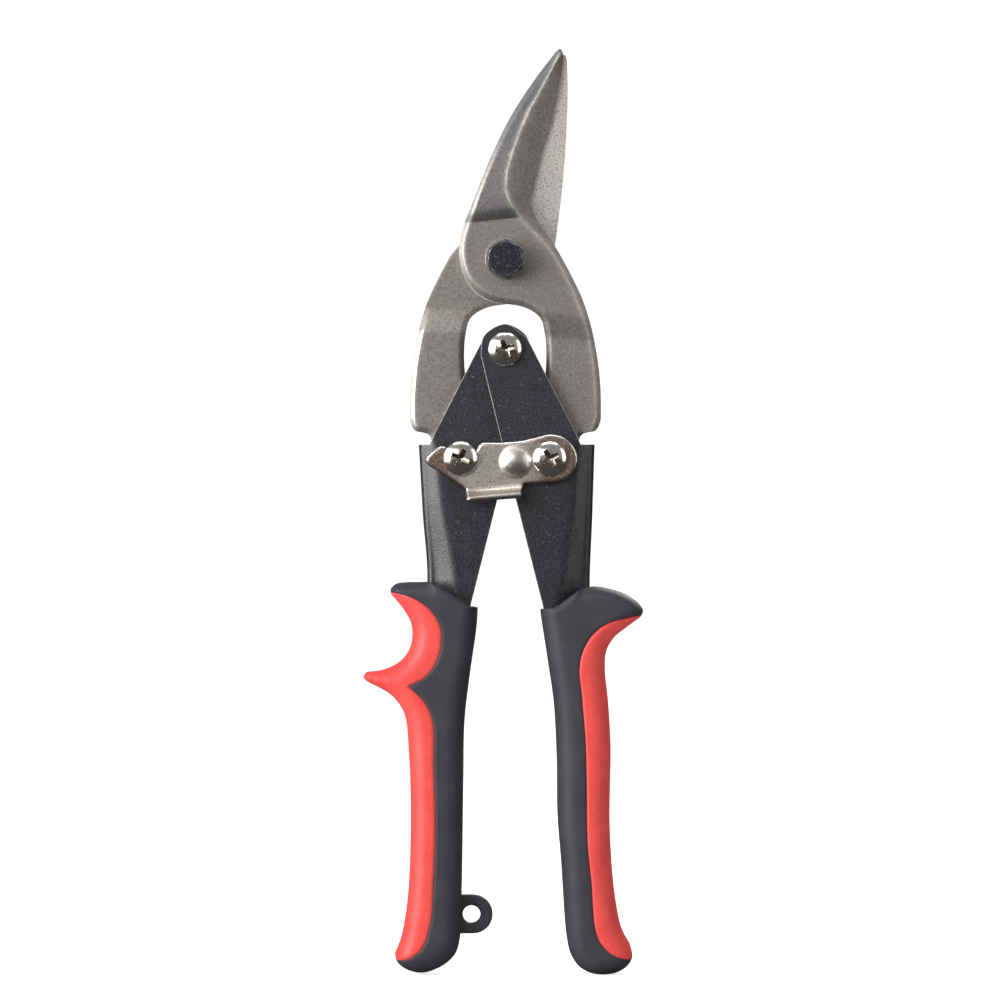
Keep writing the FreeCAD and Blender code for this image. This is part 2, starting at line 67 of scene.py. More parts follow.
# ---------------------------------------------------------------- plane curves
def through(points, step=0.7):
    """A smooth curve through the points, sampled about every step mm."""
    pts = np.array(points, float)
    ends = np.vstack([2 * pts[0] - pts[1], pts, 2 * pts[-1] - pts[-2]])
    out = []
    for p0, p1, p2, p3 in zip(ends[:-3], ends[1:-2], ends[2:-1], ends[3:]):
        knots = [0.0]
        for a, b in ((p0, p1), (p1, p2), (p2, p3)):
            knots.append(knots[-1] + max(1e-6, np.linalg.norm(b - a)) ** 0.5)
        t0, t1, t2, t3 = knots
        count = max(1, int(math.ceil(np.linalg.norm(p2 - p1) / step)))
        for t in np.linspace(t1, t2, count, endpoint=False):
            a1 = (t1 - t) / (t1 - t0) * p0 + (t - t0) / (t1 - t0) * p1
            a2 = (t2 - t) / (t2 - t1) * p1 + (t - t1) / (t2 - t1) * p2
            a3 = (t3 - t) / (t3 - t2) * p2 + (t - t2) / (t3 - t2) * p3
            b1 = (t2 - t) / (t2 - t0) * a1 + (t - t0) / (t2 - t0) * a2
            b2 = (t3 - t) / (t3 - t1) * a2 + (t - t1) / (t3 - t1) * a3
            out.append((t2 - t) / (t2 - t1) * b1 + (t - t1) / (t2 - t1) * b2)
    out.append(pts[-1])
    return np.array(out)


def outline(start, *steps, step=0.7):
    """Closed loop. A step is a corner, or a list of points of a smooth curve."""
    loop = [np.array([start], float)]
    here = start
    for item in steps + (start,):
        run = [here] + (item if isinstance(item, list) else [item])
        loop.append(through(run, step)[1:] if isinstance(item, list) else straight(run, step)[1:])
        here = run[-1]
    return thinned(np.vstack(loop), 0.02)


def thinned(loop, gap):
    """The closed loop without the points that lie nearer than gap to the one before."""
    keep = [0]
    for i in range(1, len(loop)):
        if np.linalg.norm(loop[i] - loop[keep[-1]]) > gap:
            keep.append(i)
    if np.linalg.norm(loop[keep[-1]] - loop[0]) < gap:
        keep.pop()
    return loop[keep]


def straight(points, step=0.7):
    """The corners joined by straight lines, sampled about every step mm."""
    out = []
    for a, b in zip(points[:-1], points[1:]):
        a, b = np.array(a, float), np.array(b, float)
        count = max(1, int(math.ceil(np.linalg.norm(b - a) / step)))
        out += [a + (b - a) * i / count for i in range(count)]
    out.append(np.array(points[-1], float))
    return np.array(out)


def circle(x, z, radius, count=40, turn=0.0):
    """A closed loop of count points; turn is the angle of the first."""
    angles = np.linspace(0, 2 * math.pi, count, endpoint=False) + turn
    return np.column_stack([x + radius * np.cos(angles), z + radius * np.sin(angles)])


def distance(points, line, closed=False):
    """Distance from each point to a polyline."""
    line = np.asarray(line, float)
    if closed:
        line = np.vstack([line, line[:1]])
    a, b = line[:-1], line[1:]
    ab = b - a
    length2 = np.maximum((ab ** 2).sum(1), 1e-12)
    best = np.full(len(points), 1e9)
    for lo in range(0, len(points), 4000):
        part = points[lo:lo + 4000]
        rel = part[:, None, :] - a[None]
        t = np.clip((rel * ab[None]).sum(2) / length2[None], 0, 1)
        gap = rel - t[..., None] * ab[None]
        best[lo:lo + 4000] = np.sqrt((gap ** 2).sum(2)).min(1)
    return best


def inside(points, loop):
    """Which of the points lie inside a closed loop."""
    x, z = points[:, 0], points[:, 1]
    result = np.zeros(len(points), bool)
    for (x0, z0), (x1, z1) in zip(loop, np.roll(loop, -1, axis=0)):
        if z0 == z1:
            continue
        crosses = (z0 > z) != (z1 > z)
        result ^= crosses & (x < (x1 - x0) * (z - z0) / (z1 - z0) + x0)
    return result


def runs_inside(line, loop, margin=0.1):
    """The stretches of a line that lie well inside a loop."""
    ok = inside(line, loop) & (distance(line, loop, True) > margin)
    cuts = np.flatnonzero(np.diff(ok.astype(int))) + 1
    runs = zip(np.split(line, cuts), np.split(ok, cuts))
    return [part for part, keep in runs if keep.all() and len(part) > 2]


def inward_normals(loop):
    """Unit normals of a closed loop that point into it."""
    ahead, behind = np.roll(loop, -1, axis=0), np.roll(loop, 1, axis=0)
    tangent = ahead - behind
    tangent /= np.maximum(np.linalg.norm(tangent, axis=1), 1e-9)[:, None]
    area = (loop[:, 0] * ahead[:, 1] - ahead[:, 0] * loop[:, 1]).sum()
    normal = np.column_stack([-tangent[:, 1], tangent[:, 0]])
    return normal if area > 0 else -normal


def ramp(value, low, high):
    """0 at low and 1 at high, level beyond them. low may be the larger."""
    return np.clip((value - low) / (high - low), 0, 1)


# ---------------------------------------------------------------- mesh making
def add_object(name, verts, faces, body, slot, replaces=(), sharp=(), materials=(), face_material=None):
    """A mesh, in mm, that rides on a body; sharp holds its hard edges as (lower, higher) vertex numbers."""
    mesh = bpy.data.meshes.new(name)
    mesh.from_pydata([tuple(c * MM for c in v) for v in verts], [], [tuple(f) for f in faces])
    mesh.validate()
    mesh.update()
    mesh.shade_smooth()
    if sharp:
        wanted = set(sharp)
        for edge in mesh.edges:
            a, b = edge.vertices
            if (min(a, b), max(a, b)) in wanted:
                edge.use_edge_sharp = True
    obj = bpy.data.objects.new(name, mesh)
    bpy.context.scene.collection.objects.link(obj)
    for material in materials:
        mesh.materials.append(material)
    if face_material is not None:
        mesh.polygons.foreach_set("material_index", face_material)
    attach(obj, body)
    if replaces:
        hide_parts(*replaces)
    return obj


def set_layer(obj, name, values):
    """Gives each vertex a number that the materials read."""
    obj.data.attributes.new(name, "FLOAT", "POINT").data.foreach_set("value", np.asarray(values, float))


# share of its own depth that a ring keeps from the rims, of a cell that the grid keeps from the last
# ring, and the distance that both keep from crisp lines
RING_SHARE, GRID_SHARE, CRISP_GAP = 0.985, 0.45, 0.22


def sheet_of_points(loop, rings, grid, crisp, holes):
    """Points and fixed edges of a filled outline: rings follow the rims, a grid fills the middle."""
    loops = [loop] + list(holes)
    points, edges = [], []
    for line in loops:
        first = len(points)
        points += [tuple(p) for p in line]
        edges += [(first + i, first + (i + 1) % len(line)) for i in range(len(line))]
    rim_edges = len(edges)
    for line in crisp:
        first = len(points)
        points += [tuple(p) for p in line]
        edges += [(first + i, first + i + 1) for i in range(len(line) - 1)]
    free, level = [], []
    for depth in rings:
        for number, line in enumerate(loops):
            sign = 1 if number == 0 else -1
            free.append(line + sign * inward_normals(line) * depth)
            level.append(np.full(len(line), depth))
    low, high = loop.min(0), loop.max(0)
    gx, gz = np.meshgrid(np.arange(low[0], high[0], grid), np.arange(low[1], high[1], grid))
    gx[1::2] += grid / 2
    free.append(np.column_stack([gx.ravel(), gz.ravel()]))
    level.append(np.full(gx.size, max(rings) + grid * GRID_SHARE))
    free, level = np.vstack(free), np.concatenate(level)
    ok = inside(free, loop)
    gap = distance(free, loop, True)
    for hole in holes:
        ok &= ~inside(free, hole)
        gap = np.minimum(gap, distance(free, hole, True))
    ok &= gap > level * RING_SHARE - 1e-6
    for line in crisp:
        ok &= distance(free, line) > CRISP_GAP
    points += [tuple(p) for p in free[ok]]
    return points, edges, rim_edges


def fill_plan(points, edges, wanted):
    """Triangles over plan points, wound alike, where wanted holds at their middles.

    Gives Blender's triangulation, its points, the triangles and twice their areas."""
    result = delaunay_2d_cdt([Vector(p) for p in points], edges, [], 0, 1e-6, True)
    flat = np.array([tuple(v) for v in result[0]])
    tris = np.array([f for f in result[2] if len(f) == 3], int)
    tris = tris[wanted(flat[tris].mean(1))]
    a, b, c = flat[tris[:, 0]], flat[tris[:, 1]], flat[tris[:, 2]]
    area = (b[:, 0] - a[:, 0]) * (c[:, 1] - a[:, 1]) - (b[:, 1] - a[:, 1]) * (c[:, 0] - a[:, 0])
    tris[area < 0] = tris[area < 0][:, ::-1]
    return result, flat, tris, np.abs(area)


def plan_solid(name, loop, front, back, body, slot, rings, grid, crisp=(), holes=(), rim_sharp=True,
               bend=None, wear_and_highlight=None, pick=None, **more):
    """A closed solid over an outline. front and back give Y over (x, z); bend moves the finished points.

    A wear and highlight function gives the front and back layers of an attribute of rubbed edges with painted
    highlights, and pick gives each face's material."""
    points, edges, rim_edges = sheet_of_points(loop, rings, grid, crisp, holes)

    def in_plan(middles):
        keep = inside(middles, loop)
        for hole in holes:
            keep &= ~inside(middles, hole)
        return keep

    result, flat, tris, area = fill_plan(points, edges, in_plan)
    tris = tris[area > 1e-7]
    used = np.unique(tris)
    number = np.full(len(flat), -1)
    number[used] = np.arange(len(used))
    flat, tris = flat[used], number[tris]
    count = len(flat)
    verts = np.vstack([np.column_stack([flat[:, 0], face(flat), flat[:, 1]]) for face in (front, back)])
    directed = dict.fromkeys((t[i], t[(i + 1) % 3]) for t in tris for i in range(3))
    rim = [e for e in directed if (e[1], e[0]) not in directed]
    faces = [tuple(t) for t in tris] + [tuple(t[::-1] + count) for t in tris]
    faces += [(b, a, a + count, b + count) for a, b in rim]
    sharp = set()
    if rim_sharp:
        for p, q in rim:
            sharp.add((min(p, q), max(p, q)))
            sharp.add((min(p, q) + count, max(p, q) + count))
    for edge, origin in zip(result[1], result[4]):
        if any(rim_edges <= o < len(edges) for o in origin):
            p, q = number[edge[0]], number[edge[1]]
            if p >= 0 and q >= 0:
                sharp.add((min(p, q), max(p, q)))
    if bend:
        verts = bend(verts)
    if pick:
        both = np.vstack([flat, flat])
        middles = np.array([both[list(f)].mean(0) for f in faces])
        kind = np.repeat([0, 1, 2], [len(tris), len(tris), len(rim)])
        more["face_material"] = pick(middles, kind).astype(int)
    obj = add_object(name, verts, faces, body, slot, sharp=sharp, **more)
    if wear_and_highlight is not None:
        set_layer(obj, "wear_and_highlight", np.concatenate(wear_and_highlight(flat)))
    return obj


# ---------------------------------------------------------------- material recipes
# Colours are linear red, green and blue. remap(value, low, high) stretches low to high over 0 to 1.
BEVEL_SAMPLES = 6


class Finish:
    """A principled material with helpers for procedural detail. Sizes are in millimetres."""

    def __init__(self, name, metallic=0.0, coat=0.0, coat_roughness=0.1, specular=0.5):
        self.material = bpy.data.materials.new(name)
        self.material.use_nodes = True
        tree = self.material.node_tree
        tree.nodes.clear()
        self.tree = tree
        self.shader = tree.nodes.new("ShaderNodeBsdfPrincipled")
        output = tree.nodes.new("ShaderNodeOutputMaterial")
        tree.links.new(self.shader.outputs[0], output.inputs[0])
        self.shader.inputs["Metallic"].default_value = metallic
        self.shader.inputs["Coat Weight"].default_value = coat
        self.shader.inputs["Coat Roughness"].default_value = coat_roughness
        self.shader.inputs["Specular IOR Level"].default_value = specular
        coords = tree.nodes.new("ShaderNodeTexCoord")
        self.place = coords.outputs["Object"]
        self.normal = None

    def plug(self, socket, value):
        """Feeds a socket from another node, or sets it to a colour or a number."""
        if isinstance(value, bpy.types.NodeSocket):
            self.tree.links.new(value, socket)
        else:
            socket.default_value = (*value, 1.0) if isinstance(value, tuple) else value

    def node(self, kind, **inputs):
        """A new node of this kind, with some inputs fed or set."""
        node = self.tree.nodes.new("ShaderNode" + kind)
        for key, value in inputs.items():
            self.plug(node.inputs[key], value)
        return node

    def stretched(self, x, y, z):
        node = self.node("Mapping", Vector=self.place)
        node.inputs["Scale"].default_value = (x, y, z)
        return node.outputs[0]

    def noise(self, size, detail=3.0, rough=0.55, where=None):
        return self.node("TexNoise", Vector=where or self.place, Scale=1 / (size * MM), Detail=detail,
                         Roughness=rough).outputs["Fac"]

    def cells(self, size):
        return self.node("TexVoronoi", Vector=self.place, Scale=1 / (size * MM)).outputs["Distance"]

    def attribute(self, name):
        node = self.node("Attribute")
        node.attribute_name = name
        return node.outputs["Fac"]

    def remap(self, value, low, high, to_low=0.0, to_high=1.0):
        ends = {"From Min": low, "From Max": high, "To Min": to_low, "To Max": to_high}
        return self.node("MapRange", Value=value, **ends).outputs[0]

    def math(self, operation, a, b):
        node = self.node("Math")
        node.operation = operation
        self.plug(node.inputs[0], a)
        self.plug(node.inputs[1], b)
        return node.outputs[0]

    def mix(self, amount, a, b):
        node = self.node("Mix")
        node.data_type = "RGBA"
        for key, value in (("Factor", amount), ("A", a), ("B", b)):
            self.plug(node.inputs[key], value)
        return node.outputs["Result"]

    def bevelled(self, radius):
        """The normal, as it would be with the edges of the mesh rounded."""
        bevel = self.node("Bevel", Radius=radius * MM)
        bevel.samples = BEVEL_SAMPLES
        return bevel.outputs[0]

    def edge(self, radius):
        """1 near the edges of the mesh, 0 on its flats."""
        bevel = self.bevelled(radius)
        shape = self.node("NewGeometry")
        dot = self.node("VectorMath")
        dot.operation = "DOT_PRODUCT"
        self.plug(dot.inputs[0], bevel)
        self.plug(dot.inputs[1], shape.outputs["Normal"])
        return self.remap(dot.outputs["Value"], 0.995, 0.90)

    def rounded(self, radius):
        self.normal = self.bevelled(radius)

    def bump(self, height, depth, strength=1.0):
        node = self.node("Bump", Strength=strength, Distance=depth * MM, Height=height)
        if self.normal is not None:
            self.plug(node.inputs["Normal"], self.normal)
        self.normal = node.outputs[0]

    def finish(self, color, roughness):
        self.plug(self.shader.inputs["Base Color"], color)
        self.plug(self.shader.inputs["Roughness"], roughness)
        if self.normal is not None:
            self.tree.links.new(self.normal, self.shader.inputs["Normal"])
            self.tree.links.new(self.normal, self.shader.inputs["Coat Normal"])
        return self.material


def blasted_steel():
    """Sandblasted forging: fine grain, soft stains, edges rubbed bright with painted highlights along them,
    and painted shade over the facets behind the ridge.
    """
    f = Finish("blasted_steel", metallic=0.85)
    grain = f.noise(0.35, 2.0, 0.7)
    fleck = f.noise(0.9, 3.0, 0.6)
    stain = f.noise(11.0, 3.0, 0.5)
    warm = f.mix(f.remap(stain, 0.35, 0.65), (0.385, 0.347, 0.315), (0.335, 0.313, 0.298))
    dark = f.mix(f.remap(fleck, 0.40, 0.62), (0.21, 0.193, 0.18), warm)
    base = f.mix(f.remap(grain, 0.38, 0.66), dark, warm)
    base = f.mix(f.remap(grain, 0.60, 0.74), base, (0.50, 0.475, 0.44))
    # painted shade: the dark grey laid over the facets behind the ridge and the band above the boss step
    shade_color = f.mix(f.remap(grain, 0.40, 0.66), (0.088, 0.088, 0.092), (0.175, 0.175, 0.182))
    base = f.mix(f.attribute("facet_shade"), base, shade_color)
    # rubbed bright edges and painted highlights, broken up by noise
    wear_and_highlight = f.math("MULTIPLY", f.attribute("wear_and_highlight"),
                  f.remap(f.noise(0.8, 3.0, 0.65), 0.32, 0.60, 0.40, 1.0))
    color = f.mix(wear_and_highlight, base, (0.86, 0.84, 0.79))
    f.bump(grain, 0.035, 0.8)
    f.bump(fleck, 0.05, 0.5)
    return f.finish(color, f.remap(wear_and_highlight, 0.0, 1.0, 0.56, 0.34))


def ground_steel():
    """The flat shear faces: ground lighter, with fine scratches across."""
    f = Finish("ground_steel", metallic=0.8)
    lines = f.noise(0.22, 2.0, 0.6, where=f.stretched(0.35, 1.0, 1.6))
    grain = f.noise(0.55, 2.0, 0.7)
    cloud = f.noise(7.0, 3.0)
    base = f.mix(f.remap(cloud, 0.35, 0.65), (0.80, 0.745, 0.69), (0.71, 0.67, 0.63))
    base = f.mix(f.remap(lines, 0.42, 0.60), base, (0.86, 0.82, 0.77))
    base = f.mix(f.remap(grain, 0.46, 0.34), base, (0.30, 0.27, 0.25))
    f.bump(lines, 0.02, 0.6)
    return f.finish(base, 0.5)


def black_coat():
    """Black paint on the folded channels: orange peel, pale specks, edges rubbed to grey."""
    f = Finish("black_coat", coat=0.85, coat_roughness=0.38, specular=0.5)
    peel = f.noise(0.55, 2.0, 0.6)
    speck = f.math("MULTIPLY", f.remap(f.cells(1.25), 0.20, 0.10),
                   f.remap(f.noise(2.3, 2.0), 0.50, 0.60))
    cloud = f.noise(6.0, 3.0)
    base = f.mix(f.remap(cloud, 0.35, 0.7), (0.003, 0.003, 0.007), (0.008, 0.008, 0.014))
    base = f.mix(f.remap(peel, 0.44, 0.66), base, (0.026, 0.026, 0.034))
    base = f.mix(speck, base, (0.12, 0.12, 0.14))
    worn = f.math("MULTIPLY", f.edge(0.35), f.remap(f.noise(1.6, 3.0), 0.28, 0.52, 0.35, 1.0))
    color = f.mix(worn, base, (0.55, 0.53, 0.53))
    f.rounded(0.3)
    f.bump(peel, 0.10, 0.6)
    return f.finish(color, f.remap(peel, 0.35, 0.65, 0.40, 0.56))


def slate_plastic():
    """Dark moulded grip: fine matte texture with faint rubbed patches."""
    f = Finish("slate_plastic", specular=0.28)
    pores = f.noise(0.28, 2.0, 0.65)
    cloud = f.noise(9.0, 3.0)
    base = f.mix(f.remap(cloud, 0.35, 0.68), (0.036, 0.035, 0.042), (0.046, 0.045, 0.053))
    dust = f.math("MULTIPLY", f.remap(f.cells(1.6), 0.06, 0.03), f.remap(f.noise(2.4, 1.0), 0.56, 0.62))
    base = f.mix(dust, base, (0.16, 0.16, 0.17))
    f.bump(pores, 0.04, 0.5)
    f.bump(cloud, 0.15, 0.25)
    return f.finish(base, f.remap(pores, 0.35, 0.65, 0.46, 0.60))


def red_rubber():
    """Soft red insert: slightly mottled, satin."""
    f = Finish("red_rubber", specular=0.4)
    pores = f.noise(0.3, 2.0, 0.6)
    cloud = f.noise(6.0, 3.0)
    base = f.mix(f.remap(cloud, 0.35, 0.68), (0.74, 0.064, 0.055), (0.68, 0.050, 0.044))
    base = f.mix(f.remap(pores, 0.55, 0.75), base, (0.86, 0.13, 0.11))
    f.bump(pores, 0.03, 0.45)
    f.bump(cloud, 0.12, 0.2)
    return f.finish(base, f.remap(pores, 0.35, 0.65, 0.42, 0.55))


def bright_nickel():
    """Plated screws: bright, with light scratches and dull pits."""
    f = Finish("bright_nickel", metallic=1.0)
    scratch = f.noise(0.5, 4.0, 0.7, where=f.stretched(1.0, 1.0, 2.5))
    spots = f.noise(0.9, 3.0)
    base = f.mix(f.remap(spots, 0.58, 0.70), (0.92, 0.89, 0.84), (0.62, 0.57, 0.50))
    recess = f.math("MULTIPLY", f.attribute("recess"), f.remap(f.noise(0.7, 2.0), 0.40, 0.60, 0.45, 1.0))
    base = f.mix(recess, base, (0.20, 0.155, 0.11))
    f.bump(scratch, 0.012, 0.5)
    return f.finish(base, f.remap(scratch, 0.35, 0.7, 0.10, 0.24))


def latch_nickel():
    """Warm nickel plate on the latch: painted brown reflections towards both ends, tumbled flats, a rim
    rubbed bright with a painted highlight along it, and painted shade over the thumb tab.
    """
    f = Finish("latch_nickel", metallic=1.0)
    grain = f.noise(0.5, 3.0, 0.75)
    stain = f.noise(4.0, 3.0, 0.5)
    pale = f.mix(f.remap(stain, 0.36, 0.64), (0.98, 0.90, 0.82), (0.86, 0.78, 0.71))
    # painted reflection: brown, laid towards both ends of the plate, its edge broken up by stain noise
    brown_reflection_color = f.mix(f.remap(stain, 0.36, 0.64), (0.36, 0.225, 0.17), (0.45, 0.32, 0.26))
    reflection_share = f.math("ADD", f.attribute("brown_reflection"), f.remap(stain, 0.30, 0.70, -0.25, 0.25))
    base = f.mix(f.remap(reflection_share, 0.2, 0.8), pale, brown_reflection_color)
    base = f.mix(f.remap(grain, 0.52, 0.70), base, (0.88, 0.83, 0.77))
    base = f.mix(f.remap(grain, 0.45, 0.33), base, (0.27, 0.23, 0.20))
    # painted shade: the folded thumb tab darkened to a mid grey
    base = f.mix(f.attribute("tab_shade"), base,
                 f.mix(f.remap(grain, 0.40, 0.62), (0.30, 0.27, 0.25), (0.52, 0.48, 0.44)))
    # rubbed rim and painted highlights, brightest along the top edge and over the dome
    wear_and_highlight = f.attribute("wear_and_highlight")
    color = f.mix(wear_and_highlight, base, (0.90, 0.88, 0.84))
    f.bump(grain, 0.06, 0.9)
    return f.finish(color, f.remap(wear_and_highlight, 0.0, 1.0, 0.38, 0.16))


def black_oxide():
    """The main bolt and nut: near-black oxide, rubbed silver at the corners."""
    f = Finish("black_oxide", metallic=0.55)
    fleck = f.noise(0.8, 4.0, 0.7)
    base = f.mix(f.remap(fleck, 0.56, 0.68), (0.028, 0.029, 0.036), (0.20, 0.20, 0.21))
    worn = f.math("MULTIPLY", f.edge(0.45), f.remap(f.noise(0.9, 3.0), 0.42, 0.60))
    color = f.mix(worn, base, (0.62, 0.60, 0.57))
    f.rounded(0.25)
    f.bump(fleck, 0.05, 0.6)
    return f.finish(color, f.remap(fleck, 0.35, 0.65, 0.34, 0.5))


def bright_steel():
    """Washers: bright steel with a fine grain and darker spots."""
    f = Finish("bright_steel", metallic=1.0)
    grain = f.noise(0.25, 2.0, 0.6)
    spots = f.noise(1.6, 3.0)
    base = f.mix(f.remap(spots, 0.55, 0.70), (0.60, 0.58, 0.55), (0.33, 0.31, 0.29))
    f.rounded(0.15)
    f.bump(grain, 0.015, 0.6)
    return f.finish(base, f.remap(grain, 0.35, 0.65, 0.26, 0.38))


def spring_steel():
    """Dark drawn wire."""
    f = Finish("spring_steel", metallic=1.0)
    grain = f.noise(0.3, 2.0)
    base = f.mix(f.remap(f.noise(3.0, 3.0), 0.4, 0.65), (0.22, 0.21, 0.20), (0.33, 0.31, 0.28))
    f.bump(grain, 0.015, 0.5)
    return f.finish(base, f.remap(grain, 0.35, 0.65, 0.28, 0.42))


STEEL = blasted_steel()
GROUND = ground_steel()
COAT = black_coat()
SLATE = slate_plastic()
RED = red_rubber()
NICKEL = bright_nickel()
LATCH = latch_nickel()
OXIDE = black_oxide()
BRIGHT = bright_steel()
SPRING = spring_steel()

for node_name, finish in {
        "pivot_bolt": OXIDE, "pivot_nut": OXIDE,
        "pivot_washer_front": BRIGHT, "pivot_washer_rear": BRIGHT, "latch_washer": BRIGHT,
        "fulcrum_nut": NICKEL, "left_link_nut": NICKEL, "right_link_nut": NICKEL}.items():
    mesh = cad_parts[node_name].data
    mesh.materials.clear()
    mesh.materials.append(finish)


# ---------------------------------------------------------------- grips
def rounded_half(gap, radius, rim, full=GRIP_HALF):
    """Half depth over the distance from the rim: an upright side that rolls over into the face."""
    t = np.clip(gap / radius, 0, 1)
    return rim + (full - rim) * np.sqrt(np.maximum(0.0, 1 - (1 - t) ** 2))


GRIP_RINGS = (0.12, 0.35, 0.75, 1.3, 2.0, 2.9, 4.0, 5.3)
SEAM_WIDTH, SEAM_DEPTH = 0.28, 0.32
GRIP_EDGE_R, GRIP_RIM, GRIP_CROWN, CROWN_R = 4.4, 2.6, 0.5, 8.0
COLLAR_R, COLLAR_RIM, COLLAR_NEAR = 1.6, 8.2, 0.3
FAR_X = 60.0  # beyond the outer side of either grip


def grip_pieces(side, whole, collar, seam):
    """The slate moulding and its red insert, split along the seam."""
    rest = whole[distance(whole, collar) > COLLAR_NEAR]
    first = int(np.argmax(np.linalg.norm(rest - np.roll(rest, 1, axis=0), axis=1)))
    rest = np.roll(rest, -first, axis=0)

    def half(points):
        gap = distance(points, rest)
        crown = GRIP_CROWN * np.sqrt(1 - (1 - np.clip(gap / CROWN_R, 0, 1)) ** 2)
        body = rounded_half(gap, GRIP_EDGE_R, GRIP_RIM, GRIP_HALF - GRIP_CROWN) + crown
        top = rounded_half(distance(points, collar), COLLAR_R, COLLAR_RIM)
        groove = SEAM_DEPTH * np.exp(-(distance(points, seam) / SEAM_WIDTH) ** 2)
        return np.minimum(body, top) - groove

    far = FAR_X * side
    area = np.vstack([seam, [(far, seam[-1][1]), (far, seam[0][1])]])
    for name, material, slot in ((side_name(side) + "_grip", SLATE, "slate_plastic"),
                                 (side_name(side) + "_grip_insert", RED, "red_rubber")):
        loop = part_of(whole, seam, area, material is RED)
        plan_solid(name + "_shell", loop, lambda p: -half(p), half, side_name(side) + "_handle", slot,
                   rings=GRIP_RINGS, grid=1.5, rim_sharp=False, replaces=(name,), materials=(material,))


def side_name(side):
    return "right" if side > 0 else "left"


def crossing(loop, line_start, line_end):
    """Index and place where a segment crosses a closed loop."""
    p, r = np.array(line_start), np.array(line_end) - np.array(line_start)
    for i in range(len(loop)):
        q, s = loop[i], loop[(i + 1) % len(loop)] - loop[i]
        cross = r[0] * s[1] - r[1] * s[0]
        if abs(cross) < 1e-12:
            continue
        t = ((q - p)[0] * s[1] - (q - p)[1] * s[0]) / cross
        u = ((q - p)[0] * r[1] - (q - p)[1] * r[0]) / cross
        if 0 <= t <= 1 and 0 <= u < 1:
            return i, p + t * r
    return None


def part_of(whole, seam, area, wanted_inside):
    """One side of a loop that a seam line cuts in two."""
    cuts = []
    for k in range(len(seam) - 1):
        hit = crossing(whole, seam[k], seam[k + 1])
        if hit is not None:
            cuts.append((k, hit))
    (k0, (i0, p0)), (k1, (i1, p1)) = cuts[0], cuts[-1]
    middle = seam[k0 + 1:k1 + 1]
    count = len(whole)
    forward = [whole[(i1 + 1 + n) % count] for n in range((i0 - i1) % count)]
    backward = [whole[(i1 - n) % count] for n in range((i1 - i0) % count)]
    first = np.vstack([[p0], middle, [p1], forward])
    second = np.vstack([[p0], middle, [p1], backward])
    forward_in = np.mean(inside(np.array(forward), area)) > 0.5
    return thinned(first if forward_in == wanted_inside else second, 0.05)


left_collar_line = [(-20.8, 105.8), (-17.0, 104.2), (-12.2, 101.3), (-9.2, 99.2), (-7.4, 98.9)]
left_whole = outline(
    (-7.4, 98.9),
    [(-7.7, 94.0), (-9.8, 79.0), (-11.0, 68.0), (-11.3, 52.0), (-11.7, 24.0), (-12.2, 9.9),
     (-13.4, 5.7), (-16.1, 2.9), (-19.9, 1.0), (-23.0, 0.5), (-26.9, 1.5), (-29.2, 3.5), (-29.8, 5.6)],
    [(-28.2, 9.7), (-26.4, 20.0), (-25.5, 40.0), (-26.0, 60.0), (-27.3, 70.5), (-30.6, 75.2), (-37.4, 79.1)],
    [(-38.3, 80.3), (-37.4, 81.5)],
    [(-33.0, 82.1), (-28.3, 84.5), (-25.6, 88.4), (-25.2, 94.0), (-27.3, 98.3), (-30.8, 102.6)],
    [(-30.9, 103.9), (-29.5, 105.3), (-26.0, 105.8)],
    (-20.8, 105.8), [(-17.0, 104.2), (-12.2, 101.3), (-9.2, 99.2)])
left_seam = np.vstack([
    through([(-33.0, 103.4), (-30.8, 103.1), (-25.4, 101.8), (-20.9, 99.1), (-17.6, 94.3), (-17.2, 89.5),
             (-18.4, 84.6), (-21.2, 80.6), (-26.0, 77.9)]),
    through([(-26.0, 77.9), (-21.4, 73.2), (-19.4, 68.0), (-19.2, 56.0), (-18.8, 41.0), (-19.2, 27.0),
             (-20.2, 13.5), (-22.5, 7.2), (-26.0, 4.6), (-31.0, 4.0)])[1:]])
grip_pieces(-1, left_whole, through(left_collar_line), left_seam)

right_collar_line = [(9.5, 98.4), (13.7, 99.3), (17.2, 101.8), (20.8, 104.2)]
right_whole = outline(
    (9.5, 98.4), [(13.7, 99.3), (17.2, 101.8), (20.8, 104.2)],
    [(24.0, 104.6), (28.5, 103.9), (32.6, 102.5), (35.8, 100.3), (37.2, 98.0), (36.5, 96.4)],
    [(32.4, 93.4), (29.2, 90.7), (27.2, 87.0), (26.9, 82.0), (27.7, 74.0), (28.4, 62.0), (28.2, 40.0),
     (29.5, 22.0), (31.5, 12.2), (33.7, 8.1)],
    [(34.3, 5.0), (33.2, 2.6), (30.4, 0.7), (26.4, 0.0), (22.6, 0.6), (19.6, 2.5), (17.5, 5.9),
     (16.6, 9.9), (16.1, 14.5), (15.1, 30.0), (14.1, 43.0), (13.9, 58.0), (13.1, 73.2), (11.5, 84.5),
     (9.6, 96.8)])
right_seam = through([(40.0, 97.2), (37.0, 96.9), (32.6, 96.1), (27.5, 94.7), (23.7, 91.9), (21.0, 87.6),
                      (19.9, 82.5), (20.5, 76.0), (21.5, 64.0), (21.9, 50.0), (22.1, 36.0), (23.2, 24.5),
                      (24.0, 13.8), (25.4, 9.2), (28.6, 5.9), (32.6, 4.4), (37.0, 4.6)])
grip_pieces(1, right_whole, through(right_collar_line), right_seam)

